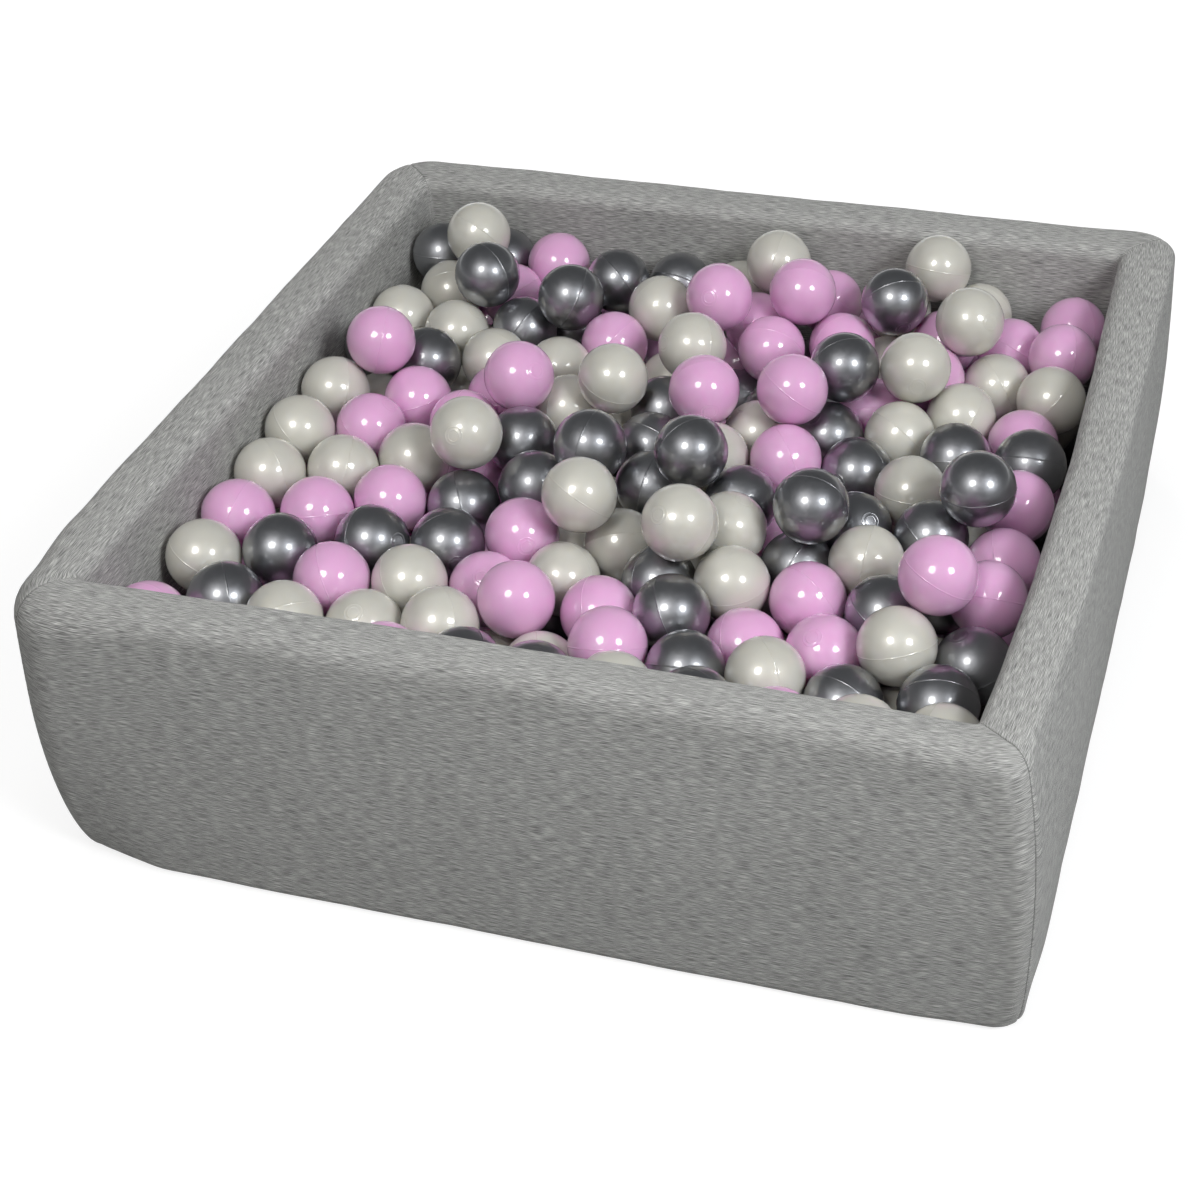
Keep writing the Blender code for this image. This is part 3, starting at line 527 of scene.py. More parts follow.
def corner_point(out, up, side, corner, share):
    """One section point on a corner's arc. A share of 0 lies on the seam, and 1 on the straight."""
    across = (out - INNER_HALF) / WALL_THICKNESS
    radius = INNER_CORNER_RADIUS + (corner_radius(up, corner) - INNER_CORNER_RADIUS) * across
    face_turn, rim_turn = SEAM_TURNS_DEG[corner], SEAM_RIM_TURNS_DEG[corner]
    seam_turn = face_turn + (rim_turn - face_turn) * min(up / RIM_HEIGHT, 1) ** SEAM_TURN_POWER
    seam_turn *= -side * min(max(across, 0), 1)
    angle = math.radians(45 + seam_turn + (45 - seam_turn) * share)
    draw = corner_draw(across, up) * CORNER_DRAW_SHARES[corner]
    along = out - radius + radius * math.cos(angle) - draw
    forward = out - radius + radius * math.sin(angle) - draw
    if share == 0:
        along -= SEAM_GAP
    return side * along, -forward, up


def eased(share):
    """A share from 0 to 1 that starts and ends gently."""
    return share * share * (3 - 2 * share)


def straight_point(out, up, along, corners):
    """A section point on the straight part. The draw at each end fades with distance from it."""
    across = (out - INNER_HALF) / WALL_THICKNESS
    corner = corners[0] if along < 0 else corners[1]
    radius = corner_radius(up, corner)
    start = HALF_WIDTH - CORNER_REACH
    share = min(max((abs(along) - start) / (out - radius - start), 0), 1)
    draw = corner_draw(across, up) * CORNER_DRAW_SHARES[corner] * eased(share)
    return along, -(out - draw), up


def wall_columns(quarter):
    """Sections from seam to seam: round one corner, along the straight and round the next."""
    corners = (quarter, (quarter + 1) % 4)
    own = RIM_EDGE_RADIUS * RIM_EDGE_SHARES[quarter]
    shares = [(step / CORNER_STEPS) ** CORNER_CROWDING for step in range(CORNER_STEPS + 1)]
    ends, at_seam = [], []
    for side, corner in ((-1, corners[0]), (1, corners[1])):
        at_seam.append(RIM_EDGE_RADIUS * CORNER_RIM_SHARES[corner])
        section = wall_section(at_seam[-1])
        ends.append([[corner_point(out, up, side, corner, share) for out, up in section] for share in shares])
    near, far = ends
    count = int(2 * HALF_WIDTH / WALL_STEP)
    middle = []
    for step in range(1, count):
        share = step / count
        from_end = min(share, 1 - share) * 2 * HALF_WIDTH
        blend = eased(min(1, from_end / RIM_BLENDS[quarter]))
        rim = (at_seam[0] if share <= 0.5 else at_seam[1]) * (1 - blend) + own * blend
        column = []
        for k, (out, up) in enumerate(wall_section(rim)):
            along = near[-1][k][0] + (far[-1][k][0] - near[-1][k][0]) * share
            column.append(straight_point(out, up, along, corners))
        middle.append(column)
    return np.array(near + middle + far[::-1])


def lengths_along(points):
    """The distance along a row of points, from its first."""
    steps = np.sqrt(((points[1:] - points[:-1]) ** 2).sum(axis=1))
    return np.concatenate(([0.0], np.cumsum(steps)))


def outward(points):
    """The directions out of a wall's skin, at each of its columns' points."""
    along = np.gradient(points, axis=0)
    around = np.roll(points, -1, axis=1) - np.roll(points, 1, axis=1)
    facing = np.cross(along, around)
    return facing / np.sqrt((facing**2).sum(axis=2))[:, :, None]


def folds(to_seam, around):
    """The small folds that a seam's thread draws into the jersey beside it, between -1 and 1."""
    near = to_seam / FOLD_PEAK
    lifted = around - FOLD_RISE * np.exp(-((to_seam / FOLD_REACH) ** 2))
    heights = sum(np.sin(2 * math.pi * lifted / length + turn) for turn, length in enumerate(FOLD_LENGTHS))
    return heights / len(FOLD_LENGTHS) * near * np.exp(1 - near)


def waves(points, quarter):
    """The cover's faint unevenness at each point. It dies out at the seams and at the zip."""
    spots = points.reshape(-1, 3) + np.array((0, 0, quarter * WAVE_OFFSET))
    total = np.zeros(len(spots))
    for length, depth in WAVES:
        total += [noise.noise(Vector(spot) / length) * depth for spot in spots]
    calm = np.ones(len(spots))
    if quarter == BACK_WALL:
        calm = np.clip(points.reshape(-1, 3)[:, 2] / ZIP_CALM_HEIGHT - 1, 0, 1)
    return (total * calm).reshape(points.shape[:2])


def dressed_wall(quarter):
    """A wall's points with the cover's relief, their places in the cloth, and how much painted seam shade
    each gets.
    """
    points = wall_columns(quarter)
    outer_middle = ARC_STEPS + RUN_COUNTS[0] // 2
    along = lengths_along(points[:, outer_middle])[:, None]
    around = lengths_along(points[len(points) // 2])[None, :]
    to_ends = (along, along[-1] - along)
    to_seam = np.minimum(*to_ends)
    relief = waves(points, quarter) * np.clip(to_seam / WAVE_FADE, 0, 1)
    relief -= SEAM_GROOVE * np.clip(1 - to_seam / SEAM_REACH, 0, 1) ** 2
    lift = np.zeros_like(relief)
    ends = zip(to_ends, (quarter, (quarter + 1) % 4), SEAM_FOLD_SHARES[quarter])
    for to_end, corner, share in ends:
        relief += FOLD_HEIGHTS[corner] * share * folds(to_end, around)
        lift += FOLD_RISE * share * np.exp(-((to_end / FOLD_REACH) ** 2))
    facing = outward(points)
    weave = cloth_places(points, facing, around - lift, quarter)
    # How much painted shade each point gets, by its nearness to a seam
    seam = np.clip(1 - to_seam / SEAM_PAINTED_SHADE_REACH, 0, 1) * np.ones_like(relief)
    return points + facing * relief[:, :, None], weave, seam


def cloth_places(points, facing, around, quarter):
    """Each point's place in a wall's cloth: straight on the rim, and round the corners below it."""
    middle = len(points) // 2
    upright = np.clip(facing[:, :, 2], 0, 1) ** 2
    lengths = np.stack([lengths_along(points[:, k]) for k in range(points.shape[1])], axis=1)
    lengths -= lengths[middle]
    weave = np.empty(points.shape)
    weave[:, :, 0] = points[:, :, 0] * upright + lengths * (1 - upright)
    weave[:, :, 1] = around + (points[:, :, 1] - points[middle, :, 1]) * upright
    weave[:, :, 1] -= CLOTH_DROOPS[quarter] * np.clip(-points[:, :, 0] / HALF_WIDTH, 0, 1) ** 2
    weave[:, :, 2] = quarter * CLOTH_OFFSET
    return weave


def lean(across, along, rise, leans, power):
    """How far a wall leans in. across is the distance from the middle, and along is beside it."""
    outer = np.clip((across - INNER_HALF) / WALL_THICKNESS, 0, 1)
    places = np.linspace(-HALF_WIDTH, HALF_WIDTH, len(leans[0]))
    at_outer = np.interp(along, places, leans[0]) * rise**power
    at_inner = np.interp(along, places, leans[1]) * rise**INNER_LEAN_POWER
    near = np.clip((across - LEAN_FROM) / (INNER_HALF - LEAN_FROM), 0, 1)
    return (at_outer * outer + at_inner * (1 - outer)) * near


def leant(points):
    """Points in the pit's own axes, with the tops of its front and right walls leaning in."""
    x, y, z = points.T
    rise = np.clip(z / RIM_HEIGHT, 0, None)
    moved = points.copy()
    moved[:, 0] -= lean(x, y, rise, RIGHT_LEANS, RIGHT_LEAN_POWER)
    moved[:, 1] += lean(-y, x, rise, FRONT_LEANS, FRONT_LEAN_POWER)
    moved[:, 2] = np.clip(z, 0, None)
    return moved


def store(mesh, name, kind, key, values):
    """Stores a value for each vertex, which the jersey's material reads by its name."""
    made = mesh.attributes.new(name, kind, "POINT")
    made.data.foreach_set(key, np.asarray(values, dtype=np.float32).ravel())


# The thread of the seams, and the places along a stitch where it has a share of its radius
STITCH_PITCH = 0.0042
STITCH_LENGTH = 0.0020
STITCH_RADIUS = 0.00030
STITCH_SIDES = 6
STITCH_SHARES = ((-1.0, 0.35), (-0.8, 0.85), (-0.4, 1.0), (0.4, 1.0), (0.8, 0.85), (1.0, 0.35))


def stitch_shape():
    """One stitch along X, with rounded ends."""
    points = []
    for place, share in STITCH_SHARES:
        for k in range(STITCH_SIDES):
            turn = 2 * math.pi * k / STITCH_SIDES
            radius = STITCH_RADIUS * share
            points.append((STITCH_LENGTH / 2 * place, radius * math.cos(turn), radius * math.sin(turn)))
    faces = [tuple(reversed(range(STITCH_SIDES)))]
    last = (len(STITCH_SHARES) - 1) * STITCH_SIDES
    faces.append(tuple(last + k for k in range(STITCH_SIDES)))
    for ring in range(len(STITCH_SHARES) - 1):
        for k in range(STITCH_SIDES):
            after = (k + 1) % STITCH_SIDES
            start = ring * STITCH_SIDES
            faces.append((start + k, start + after, start + STITCH_SIDES + after, start + STITCH_SIDES + k))
    return np.array(points), faces


def turned_along(direction):
    """A rotation that lays X along a direction."""
    return np.array(Vector(direction).to_track_quat("X", "Z").to_matrix())


def places_at(spots, path):
    """The places at some distances along a path."""
    lengths = lengths_along(path)
    return np.column_stack([np.interp(spots, lengths, path[:, axis]) for axis in range(3)])


def stitches(name, path):
    """A row of stitches along a path."""
    count = int(lengths_along(path)[-1] / STITCH_PITCH)
    spots = (np.arange(count) + 0.5) * STITCH_PITCH
    centres = places_at(spots, path)
    ahead = places_at(spots + STITCH_LENGTH, path)
    turns = [turned_along(step) for step in ahead - centres]
    mesh = many(name, *stitch_shape(), centres, turns)
    dress(new_object(name, mesh), "thread", "jersey", "pit")


WALL_NAMES = ("front", "right", "back", "left")
CORNER_NAMES = ("front_left", "front_right", "back_right", "back_left")


def make_wall(quarter):
    """One wall's padded cover, in place, and the stitches of the seam at its far end."""
    name = WALL_NAMES[quarter]
    points, weave, seam = dressed_wall(quarter)
    quarter_turn = np.array(Matrix.Rotation(math.radians(90 * quarter), 3, "Z"))
    points = leant(points.reshape(-1, 3) @ quarter_turn.T).reshape(points.shape)
    mesh = grid_mesh(f"wall_{name}", points)
    store(mesh, "weave", "FLOAT_VECTOR", "vector", weave)
    # The share of painted seam shade, which the jersey reads
    store(mesh, "seam", "FLOAT", "value", seam)
    wall = new_object(f"wall_{name}", mesh)
    dress(wall, "jersey", "jersey", "pit", f"cover_{name}", f"foam_{name}")
    first = ARC_STEPS // 2
    last = 3 * ARC_STEPS + sum(RUN_COUNTS[:3])
    stitches(f"seam_{CORNER_NAMES[(quarter + 1) % 4]}", points[-1, first:last])


# The floor cushion

FLOOR_EDGE_RADIUS = 0.007
FLOOR_SEGMENTS = 96


def floor_drop(place, half):
    """How far the floor's rounded edge lies in from its top, or from its underside."""
    near = half - max(abs(place.x), abs(place.y))
    return FLOOR_EDGE_RADIUS * fallen(max(0.0, 1 - near / FLOOR_EDGE_RADIUS))


def make_floor():
    """The padded floor: a slab with rounded edges."""
    half = INNER_HALF - GAP
    shape = bmesh.new()
    bmesh.ops.create_grid(shape, x_segments=FLOOR_SEGMENTS, y_segments=FLOOR_SEGMENTS, size=half)
    top = list(shape.verts)
    made = bmesh.ops.duplicate(shape, geom=shape.verts[:] + shape.edges[:] + shape.faces[:])
    bottom = [vert for vert in made["geom"] if isinstance(vert, bmesh.types.BMVert)]
    for vert in top:
        vert.co.z = FLOOR_THICKNESS - floor_drop(vert.co, half)
    for vert in bottom:
        vert.co.z = floor_drop(vert.co, half)
    bmesh.ops.bridge_loops(shape, edges=[edge for edge in shape.edges if edge.is_boundary])
    bmesh.ops.recalc_face_normals(shape, faces=shape.faces)
    mesh = bpy.data.meshes.new("floor_cushion")
    shape.to_mesh(mesh)
    shape.free()
    floor = new_object("floor_cushion", mesh)
    store(mesh, "weave", "FLOAT_VECTOR", "vector", [vert.co for vert in mesh.vertices])
    dress(floor, "jersey", "jersey", "pit", "floor_cover_base", "floor_cover_top", "foam_floor")


# The balls

# A ball's outline, by the angle from one pole: the raised parting line round its middle, the two
# raised rings near that pole, and where its plain rows of points lie
PARTING_HEIGHT = 0.00032
PARTING_HALF_DEG = 0.9
RINGS_DEG = (9.0, 14.0)
RING_HALF_DEG = 0.8
RING_HEIGHT = 0.00022
RIDGE_SHARES = (-2.0, -1.0, -0.5, 0.0, 0.5, 1.0, 2.0)
FIRST_ROW_DEG = 5.0
UPPER_ROWS_DEG = (22.0, 7.5)
LOWER_ROWS_DEG = (98.0, 8.2)
LAST_ROW_DEG = 176.0
PLAIN_ROWS = 9
BALL_SEGMENTS = 40

# The colours that the hidden balls are drawn from, and the seeds of what is drawn
COLOUR_NAMES = ("pink", "pearl", "silver")
TURN_SEED = 11
FILL_TURN_SEED = 12
FILL_COLOUR_SEED = 5


def read_balls():
    """The balls in the order of BALL_PIXELS: their pixels, their colours and their layers."""
    entries = [entry.split() for entry in BALL_PIXELS.replace("\n", ",").split(",") if entry.strip()]
    pixels = np.array([(float(entry[0]), float(entry[1])) for entry in entries])
    colours = [entry[2] for entry in entries]
    layers = np.array([int(entry[3]) for entry in entries])
    return pixels, colours, layers


def view_axes():
    """The camera's ahead, right and down directions."""
    turn, tilt, roll = map(math.radians, (VIEW_TURN_DEG, VIEW_TILT_DEG, VIEW_ROLL_DEG))
    level_ahead = Vector((-math.sin(turn), math.cos(turn), 0))
    level_right = Vector((math.cos(turn), math.sin(turn), 0))
    ahead = level_ahead * math.cos(tilt) - Vector((0, 0, 1)) * math.sin(tilt)
    level_up = level_right.cross(ahead)
    right = level_right * math.cos(roll) + level_up * math.sin(roll)
    return ahead, right, ahead.cross(right)


def sight_lines(pixels):
    """The direction from the eye to each pixel, in the pit's own axes."""
    ahead, right, down = view_axes()
    across = (pixels[:, 0] - VIEW_CENTRE_PIXELS[0]) / VIEW_FOCAL_PIXELS
    below = (pixels[:, 1] - VIEW_CENTRE_PIXELS[1]) / VIEW_FOCAL_PIXELS
    lines = np.array(ahead) + across[:, None] * np.array(right) + below[:, None] * np.array(down)
    return lines / np.sqrt((lines**2).sum(axis=1))[:, None]


def pushes(places, spacing, among):
    """How far each ball is pushed by those of among that it overlaps."""
    apart = places[:, None, :] - places[None, :, :]
    distance = np.sqrt((apart**2).sum(axis=2))
    np.fill_diagonal(distance, spacing)
    overlap = np.clip(spacing - distance, 0, None) * among
    return (apart * (overlap / distance)[:, :, None]).sum(axis=1)


def settle(pixels, layers):
    """Ball centres on their sight lines and near their layers, moved until none overlap."""
    lines = sight_lines(pixels)
    eye = np.array(EYE_SHARES)
    seen = eye + lines * ((np.array(LAYER_SHARES)[layers] - eye[2]) / lines[:, 2])[:, None]
    levels = np.array(LAYER_HEIGHTS)[layers]
    homes = np.column_stack((seen[:, :2] * BALL_REACH / REACH_SHARE, levels))
    places = homes.copy()
    loose = layers == 2
    everyone = np.ones((len(layers), len(layers)))
    both_loose = (loose[:, None] & loose[None, :]) * 1.0
    highest_in_bed = SURFACE_HEIGHT + BED_BALL_RISE
    for turn in range(SETTLE_PASSES):
        shift = pushes(places, BALL_SPACING, everyone) * PUSH_SHARE
        shift[:, :2] += pushes(places[:, :2], BALL_SPACING, both_loose) * PUSH_SHARE
        places += shift
        if turn < FREE_PASSES:
            along = ((places - homes) * lines).sum(axis=1)
            places += (homes + lines * along[:, None] - places) * SIGHT_SHARE
            places += lines * ((levels - places[:, 2]) * LEVEL_SHARE / lines[:, 2])[:, None]
        places[:, :2] = np.clip(places[:, :2], -BALL_REACH, BALL_REACH)
        places[~loose, 2] = np.minimum(places[~loose, 2], highest_in_bed)
    return places


def fill_holes(bed, lowest):
    """The bed's balls with more in the holes between them, packed from the top down to lowest."""
    step = BALL_SPACING * FILL_STEP_SHARE
    count = int(2 * BALL_REACH / step)
    filled = list(bed)
    height = SURFACE_HEIGHT - FILL_BELOW_SURFACE
    while height >= lowest:
        for row in range(count + 1):
            for column in range(count + 1):
                place = np.array([column * step - BALL_REACH, row * step - BALL_REACH, height])
                distance = np.sqrt(((np.array(filled) - place) ** 2).sum(axis=1))
                if distance.min() >= BALL_SPACING:
                    filled.append(place)
        height -= FILL_DROP
    return np.array(filled)


def ridge(angle_deg, centre_deg, half_deg, height):
    """The height of a rounded ridge at an angle from the pole."""
    share = abs(angle_deg - centre_deg) / half_deg
    return height * (1 - share**2) ** 2 if share < 1 else 0.0


def ball_shape():
    """Points and faces of one ball about Z, from the pole with the ring down to the other."""
    near_rings = [ring + RING_HALF_DEG * share for ring in RINGS_DEG for share in RIDGE_SHARES]
    near_line = [90 + PARTING_HALF_DEG * share for share in RIDGE_SHARES]
    upper = [UPPER_ROWS_DEG[0] + UPPER_ROWS_DEG[1] * k for k in range(PLAIN_ROWS)]
    lower = [LOWER_ROWS_DEG[0] + LOWER_ROWS_DEG[1] * k for k in range(PLAIN_ROWS + 1)]
    angles = [FIRST_ROW_DEG] + near_rings + upper + near_line + lower + [LAST_ROW_DEG]
    points = [(0.0, 0.0, BALL_RADIUS)]
    for angle in angles:
        radius = BALL_RADIUS + ridge(angle, 90, PARTING_HALF_DEG, PARTING_HEIGHT)
        radius += sum(ridge(angle, ring, RING_HALF_DEG, RING_HEIGHT) for ring in RINGS_DEG)
        flat = radius * math.sin(math.radians(angle))
        height = radius * math.cos(math.radians(angle))
        for k in range(BALL_SEGMENTS):
            turn = 2 * math.pi * k / BALL_SEGMENTS
            points.append((flat * math.cos(turn), flat * math.sin(turn), height))
    points.append((0.0, 0.0, -BALL_RADIUS))
    faces = []
    last = len(points) - 1
    for k in range(BALL_SEGMENTS):
        after = (k + 1) % BALL_SEGMENTS
        faces.append((0, 1 + k, 1 + after))
        for row in range(len(angles) - 1):
            start = 1 + row * BALL_SEGMENTS
            below = start + BALL_SEGMENTS
            faces.append((start + k, below + k, below + after, start + after))
        start = 1 + (len(angles) - 1) * BALL_SEGMENTS
        faces.append((start + k, last, start + after))
    return np.array(points), faces


def many(name, points, faces, centres, turns):
    """One mesh with a copy of a shape at each centre, each turned its own way."""
    copies = np.concatenate([points @ turn.T + centre for centre, turn in zip(centres, turns)])
    starts = np.cumsum([0] + [len(face) for face in faces[:-1]])
    corners = np.array([corner for face in faces for corner in face])
    count = len(centres)
    mesh = bpy.data.meshes.new(name)
    mesh.vertices.add(len(copies))
    mesh.vertices.foreach_set("co", copies.astype(np.float32).ravel())
    loops = np.concatenate([corners + k * len(points) for k in range(count)])
    mesh.loops.add(len(loops))
    mesh.loops.foreach_set("vertex_index", loops.astype(np.int32))
    polygons = np.concatenate([starts + k * len(corners) for k in range(count)])
    mesh.polygons.add(len(polygons))
    mesh.polygons.foreach_set("loop_start", polygons.astype(np.int32))
    mesh.update(calc_edges=True)
    mesh.validate()
    return mesh


def random_turns(count, seed):
    """Rotations for balls that lie any way up."""
    draws = np.random.RandomState(seed).normal(size=(count, 4))
    return [np.array(Quaternion(draw).normalized().to_matrix()) for draw in draws]


def make_balls():
    """Every ball: the loose ones each on their own body, and those of the bed by colour."""
    pixels, colours, layers = read_balls()
    places = settle(pixels, layers)
    points, faces = ball_shape()
    turns = random_turns(len(places), TURN_SEED)

    loose_names = sorted(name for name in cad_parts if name.startswith("ball_") and name != "ball_bed")
    for name, row in zip(loose_names, np.flatnonzero(layers == 2)):
        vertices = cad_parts[name].data.vertices
        centre = np.array([vert.co[:] for vert in vertices]).mean(axis=0)
        colour = name.split("_")[2]
        ball = new_object(f"loose_{name}", many(name, points, faces, [centre], [turns[row]]))
        dress(ball, colour, f"ball_{colour}", name, name)

    in_bed = np.flatnonzero(layers < 2)
    bed = fill_holes(places[in_bed], FLOOR_THICKNESS + GAP + BALL_RADIUS)
    hidden = len(bed) - len(in_bed)
    drawn = np.random.RandomState(FILL_COLOUR_SEED).randint(0, len(COLOUR_NAMES), size=hidden)
    bed_colours = [colours[row] for row in in_bed] + [COLOUR_NAMES[k] for k in drawn]
    bed_turns = [turns[row] for row in in_bed] + random_turns(hidden, FILL_TURN_SEED)
    for colour in COLOUR_NAMES:
        rows = [row for row, value in enumerate(bed_colours) if value == colour]
        mesh = many(f"bed_{colour}", points, faces, bed[rows], [bed_turns[row] for row in rows])
        dress(new_object(f"bed_balls_{colour}", mesh), colour, f"ball_{colour}", "ball_bed", "ball_bed")


# The zip: woven tapes and a coil of teeth. The stops, slider and pull keep their solids.

ZIP_LENGTH = 0.620
ZIP_BAND_LOW = 0.027
ZIP_BAND_HIGH = 0.067
TAPE_WIDTH = 0.0160
TAPE_THICKNESS = 0.0006
TAPE_TAIL = 0.015
TAPE_STEP = 0.0010
TAPE_RIPPLE = 0.00006
TAPE_RIPPLE_LENGTH = 0.0042
TEETH_GAP = 0.0010
TEETH_WIDTH = 0.0022
TEETH_HEIGHT = 0.0022

# A tape's outline, from the teeth out: each point's share of its width and of its thickness
TAPE_CORD_SHARES = ((0.0, 0.55), (0.02, 1.0), (0.10, 1.0), (0.14, 0.8), (0.70, 0.8), (0.74, 0.62))
TAPE_CORD_SHARES += ((0.78, 0.8), (0.95, 0.8), (0.98, 1.0), (1.0, 0.55))
TAPE_SEAM_SHARE = 0.76

# A tooth, and each tape's side of the zip and how many pitches its first tooth lies from its end
TOOTH_PITCH = 0.0015
TOOTH_LENGTH = 0.00062
TOOTH_REACH = 0.0004
TOOTH_EDGE = 0.00018
TAPE_SIDES = {"upper": (1, 1.0), "lower": (-1, 0.5)}
METAL_NODES = ("zip_slider", "zip_pull", "zip_stop_closed_end", "zip_stop_open_end")


def zip_placement():
    """Where the zip lies: X along it, Y out of the back wall and Z up it."""
    low_out, low_up = swollen(HALF_WIDTH, ZIP_BAND_LOW)
    high_out, high_up = swollen(HALF_WIDTH, ZIP_BAND_HIGH)
    tilt = -math.atan2(high_out - low_out, high_up - low_up)
    middle = Vector((0, (low_out + high_out) / 2, (low_up + high_up) / 2))
    return Matrix.Translation(middle) @ Matrix.Rotation(tilt, 4, "X")


def tooth_shape(side):
    """One tooth: a rounded block that reaches a little over the zip's middle."""
    shape = bmesh.new()
    bmesh.ops.create_cube(shape, size=1.0)
    low = GAP + TAPE_THICKNESS + GAP
    near, far = -side * TOOTH_REACH, side * (TEETH_GAP / 2 + TEETH_WIDTH)
    size = Vector((TOOTH_LENGTH, TEETH_HEIGHT, abs(far - near)))
    bmesh.ops.scale(shape, vec=size, verts=shape.verts)
    middle = Vector((0, low + TEETH_HEIGHT / 2, (near + far) / 2))
    bmesh.ops.translate(shape, vec=middle, verts=shape.verts)
    bmesh.ops.bevel(shape, geom=shape.edges[:], offset=TOOTH_EDGE, segments=2, affect="EDGES", profile=0.5)
    points = np.array([vert.co[:] for vert in shape.verts])
    shape.verts.index_update()
    faces = [tuple(vert.index for vert in face.verts) for face in shape.faces]
    shape.free()
    return points, faces


def tape_points(side):
    """Sections of one tape: its woven edge cords, and the channel that its seam pulls in."""
    reach = ZIP_LENGTH / 2 + TAPE_TAIL
    sections = []
    for step in range(int(2 * reach / TAPE_STEP) + 1):
        along = -reach + step * TAPE_STEP
        ripple = TAPE_RIPPLE * math.sin(2 * math.pi * along / TAPE_RIPPLE_LENGTH)
        section = []
        for across, height in TAPE_CORD_SHARES:
            flat = side * (TEETH_GAP / 2 + TAPE_WIDTH * across)
            section.append((along, GAP + TAPE_THICKNESS * height + ripple * height, flat))
        for across in (1.0, 0.0):
            section.append((along, GAP, side * (TEETH_GAP / 2 + TAPE_WIDTH * across)))
        sections.append(section)
    return np.array(sections)


def make_zip():
    """The tapes, their seams and the teeth, in place on the back wall."""
    placement = zip_placement()
    turn = np.array(placement.to_3x3())
    start = np.array(placement.translation)
    count = int(ZIP_LENGTH / TOOTH_PITCH) - 1
    for name, (side, first_share) in TAPE_SIDES.items():
        sections = tape_points(side)
        placed = (sections.reshape(-1, 3) @ turn.T + start).reshape(sections.shape)
        tape = new_object(f"tape_{name}", grid_mesh(f"tape_{name}", placed))
        dress(tape, "tape", "zip_tape", "pit", f"zip_tape_{name}")
        flat = side * (TEETH_GAP / 2 + TAPE_WIDTH * TAPE_SEAM_SHARE)
        ends = np.array([(reach, GAP + TAPE_THICKNESS, flat) for reach in (-ZIP_LENGTH / 2, ZIP_LENGTH / 2)])
        stitches(f"tape_seam_{name}", ends @ turn.T + start)
        first = -ZIP_LENGTH / 2 + TOOTH_PITCH * first_share
        spots = [np.array((first + k * TOOTH_PITCH, 0, 0)) @ turn.T + start for k in range(count)]
        mesh = many(f"teeth_{name}", *tooth_shape(side), spots, [turn] * count)
        mesh.shade_flat()
        teeth = new_object(f"teeth_{name}", mesh)
        dress(teeth, "teeth", "zip_teeth", "pit", f"zip_teeth_{name}")
    for node in METAL_NODES:
        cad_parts[node].data.materials[0] = MATERIALS["metal"]


# The studio: a pale floor, soft lamps round the pit and a pale world. The floor's own glow grows from
# near the pit to far from it.

STUDIO_SIZE = 14.0
FLOOR_COLOUR = (0.30, 0.30, 0.30, 1.0)
FLOOR_ROUGHNESS = 0.9
GLOW_RANGE = (0.6, 2.2)
GLOWS = (0.77, 0.98)
WORLD_COLOUR = (0.96, 0.98, 1.0, 1.0)
WORLD_STRENGTH = 0.12
WHITE = (1.0, 1.0, 1.0)
WARM = (1.0, 0.985, 0.96)
COOL = (0.975, 0.99, 1.0)
LAMP_DISTANCE = 3.6
SENSOR = 36.0

# How high a reflected direction can rise until the white behind the pit begins to fade, and is gone
WHITE_HEIGHTS = (0.05, 0.16)


def lamp(name, azimuth_deg, elevation_deg, power, size, colour, mirrored=True, lights=True):
    """A round soft lamp that points at the pit. Azimuth 0 is in front, and 90 is to the right.

    One that isn't mirrored gives no highlight on glossy balls, and one that doesn't light only that.
    """
    light = bpy.data.lights.new(name, "AREA")
    light.shape = "DISK"
    light.size = size
    light.energy = power
    light.color = colour
    made = in_scene(name, light)
    azimuth, elevation = math.radians(azimuth_deg), math.radians(elevation_deg)
    flat = math.cos(elevation)
    away = Vector((math.sin(azimuth) * flat, -math.cos(azimuth) * flat, math.sin(elevation)))
    made.location = away * LAMP_DISTANCE + Vector((0, 0, RIM_HEIGHT))
    made.rotation_mode = "QUATERNION"
    made.rotation_quaternion = (-away).to_track_quat("-Z", "Y")
    made.visible_glossy = mirrored
    made.visible_diffuse = lights


def math_node(tree, operation, first, second):
    """The result of an operation on two sockets."""
    node = tree.nodes.new("ShaderNodeMath")
    node.operation = operation
    tree.links.new(first, node.inputs[0])
    tree.links.new(second, node.inputs[1])
    return node.outputs[0]


def white_rays(tree, mirrored=None):
    """A 1 for each ray that sees the white background: the camera's, and those through clear things.

    Reflections see it too, or the share of it that mirrored gives.
    """
    rays = tree.nodes.new("ShaderNodeLightPath").outputs
    glossy = rays["Is Glossy Ray"]
    if mirrored is not None:
        glossy = math_node(tree, "MULTIPLY", glossy, mirrored)
    straight = math_node(tree, "MAXIMUM", rays["Is Camera Ray"], rays["Is Transmission Ray"])
    return math_node(tree, "MAXIMUM", straight, glossy)


def pale_floor():
    """A pale floor, brighter to the camera and in reflections than the lamps make it."""
    mesh = bpy.data.meshes.new("studio_floor")
    half = STUDIO_SIZE / 2
    corners = [(-half, -half, 0), (half, -half, 0), (half, half, 0), (-half, half, 0)]
    mesh.from_pydata(corners, [], [(0, 1, 2, 3)])
    floor = in_scene("studio_floor", mesh)
    made = Shader("studio_floor", FLOOR_ROUGHNESS)
    made.set({"Base Color": FLOOR_COLOUR, "Emission Color": (*WHITE, 1.0)})
    away = made.add("ShaderNodeVectorMath", operation="LENGTH")
    made.link(made.place, away.inputs[0])
    glow = remapped(made.tree, away.outputs["Value"], GLOW_RANGE, GLOWS)
    seen = math_node(made.tree, "MULTIPLY", white_rays(made.tree), glow)
    made.link(seen, made.main.inputs["Emission Strength"])
    mesh.materials.append(made.material)


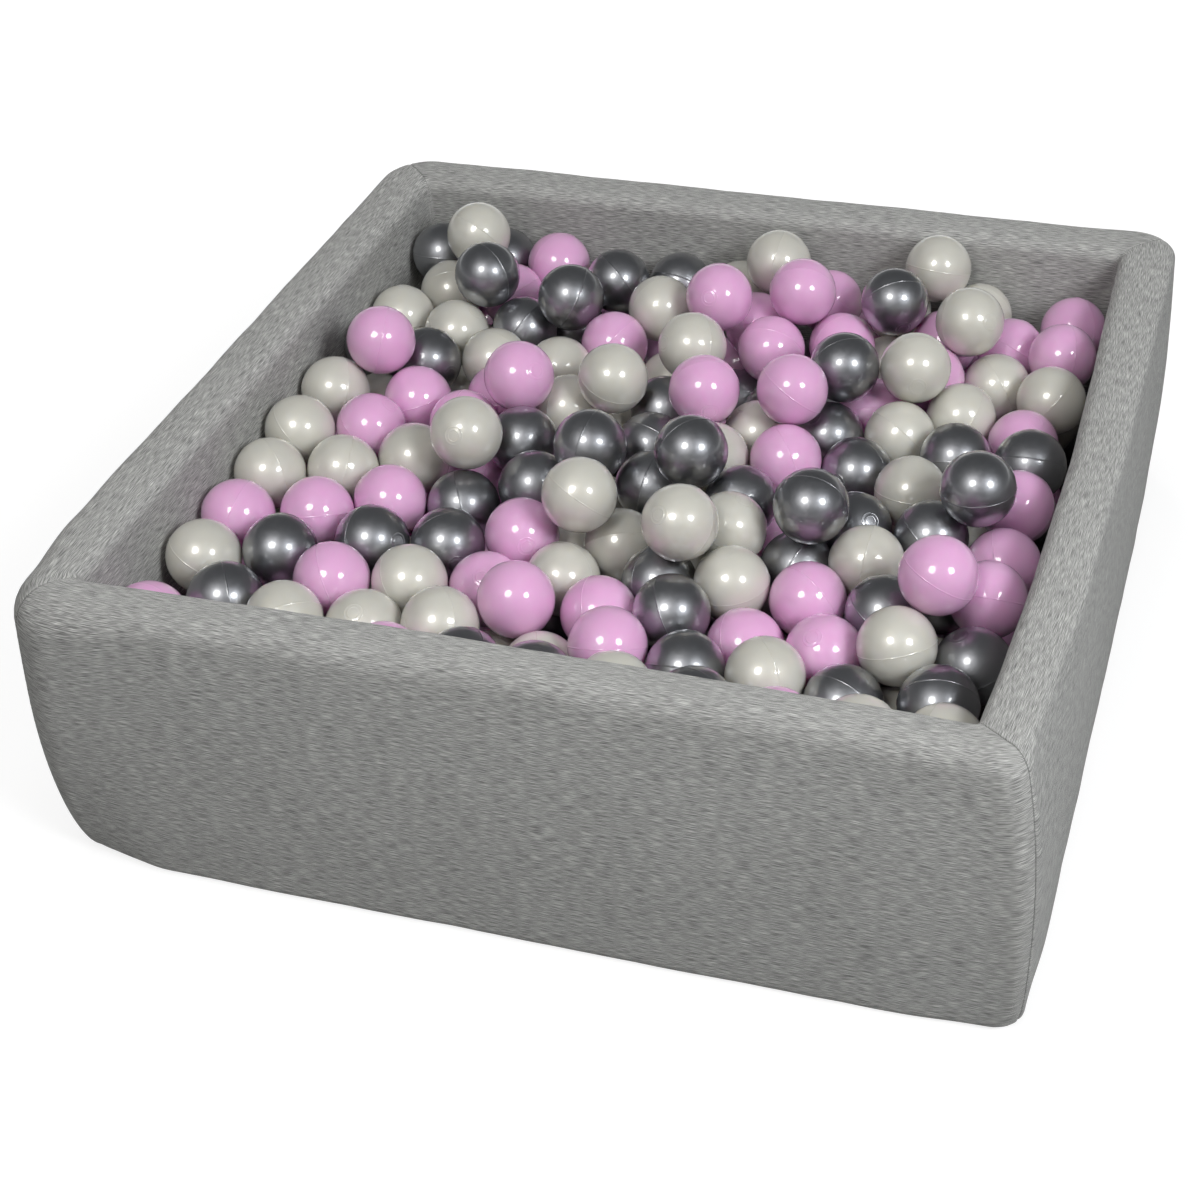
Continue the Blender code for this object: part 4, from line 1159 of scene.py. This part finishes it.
def pale_world():
    """A soft world light. The camera sees it as white, and so do reflections near the horizon."""
    world = bpy.data.worlds.new("studio")
    bpy.context.scene.world = world
    world.use_nodes = True
    tree = world.node_tree
    back = tree.nodes["Background"]
    back.inputs["Color"].default_value = WORLD_COLOUR
    back.inputs["Strength"].default_value = WORLD_STRENGTH
    white = tree.nodes.new("ShaderNodeBackground")
    white.inputs["Color"].default_value = (*WHITE, 1.0)
    split = tree.nodes.new("ShaderNodeSeparateXYZ")
    tree.links.new(tree.nodes.new("ShaderNodeTexCoord").outputs["Generated"], split.inputs[0])
    low = remapped(tree, split.outputs["Z"], WHITE_HEIGHTS, (1.0, 0.0))
    mix = tree.nodes.new("ShaderNodeMixShader")
    tree.links.new(white_rays(tree, low), mix.inputs[0])
    tree.links.new(back.outputs[0], mix.inputs[1])
    tree.links.new(white.outputs[0], mix.inputs[2])
    tree.links.new(mix.outputs[0], tree.nodes["World Output"].inputs["Surface"])


def make_camera():
    """The camera where the photograph was taken from."""
    ahead, right, down = view_axes()
    camera = in_scene("camera", bpy.data.cameras.new("camera"))
    place = Vector(EYE_SHARES) * HALF_WIDTH
    turn = Matrix((right, -down, -ahead)).transposed().to_4x4()
    camera.matrix_world = Matrix.Translation(place) @ turn
    camera.data.sensor_width = SENSOR
    camera.data.lens = VIEW_FOCAL_PIXELS / IMAGE_PIXELS * SENSOR
    camera.data.shift_x = (IMAGE_PIXELS / 2 - VIEW_CENTRE_PIXELS[0]) / IMAGE_PIXELS
    camera.data.shift_y = (VIEW_CENTRE_PIXELS[1] - IMAGE_PIXELS / 2) / IMAGE_PIXELS
    bpy.context.scene.camera = camera


for quarter in range(len(WALL_NAMES)):
    make_wall(quarter)
make_floor()
make_balls()
make_zip()
pale_floor()
pale_world()

# Each lamp's azimuth and elevation in degrees, its watts, its diameter and its colour
lamp("lamp_left", -10, 48, 39, 1.25, WARM)
lamp("highlight_left", -10, 48, 36, 1.25, WARM, lights=False)
lamp("lamp_right", 60, 36, 93, 1.35, COOL, mirrored=False)
lamp("highlight_right", 60, 37, 44, 1.05, COOL, lights=False)
lamp("lamp_above", 0, 90, 32, 2.2, WHITE, mirrored=False)
lamp("lamp_behind", 205, 9, 40, 1.1, WHITE, mirrored=False)

make_camera()
bpy.context.scene.view_settings.view_transform = "Standard"
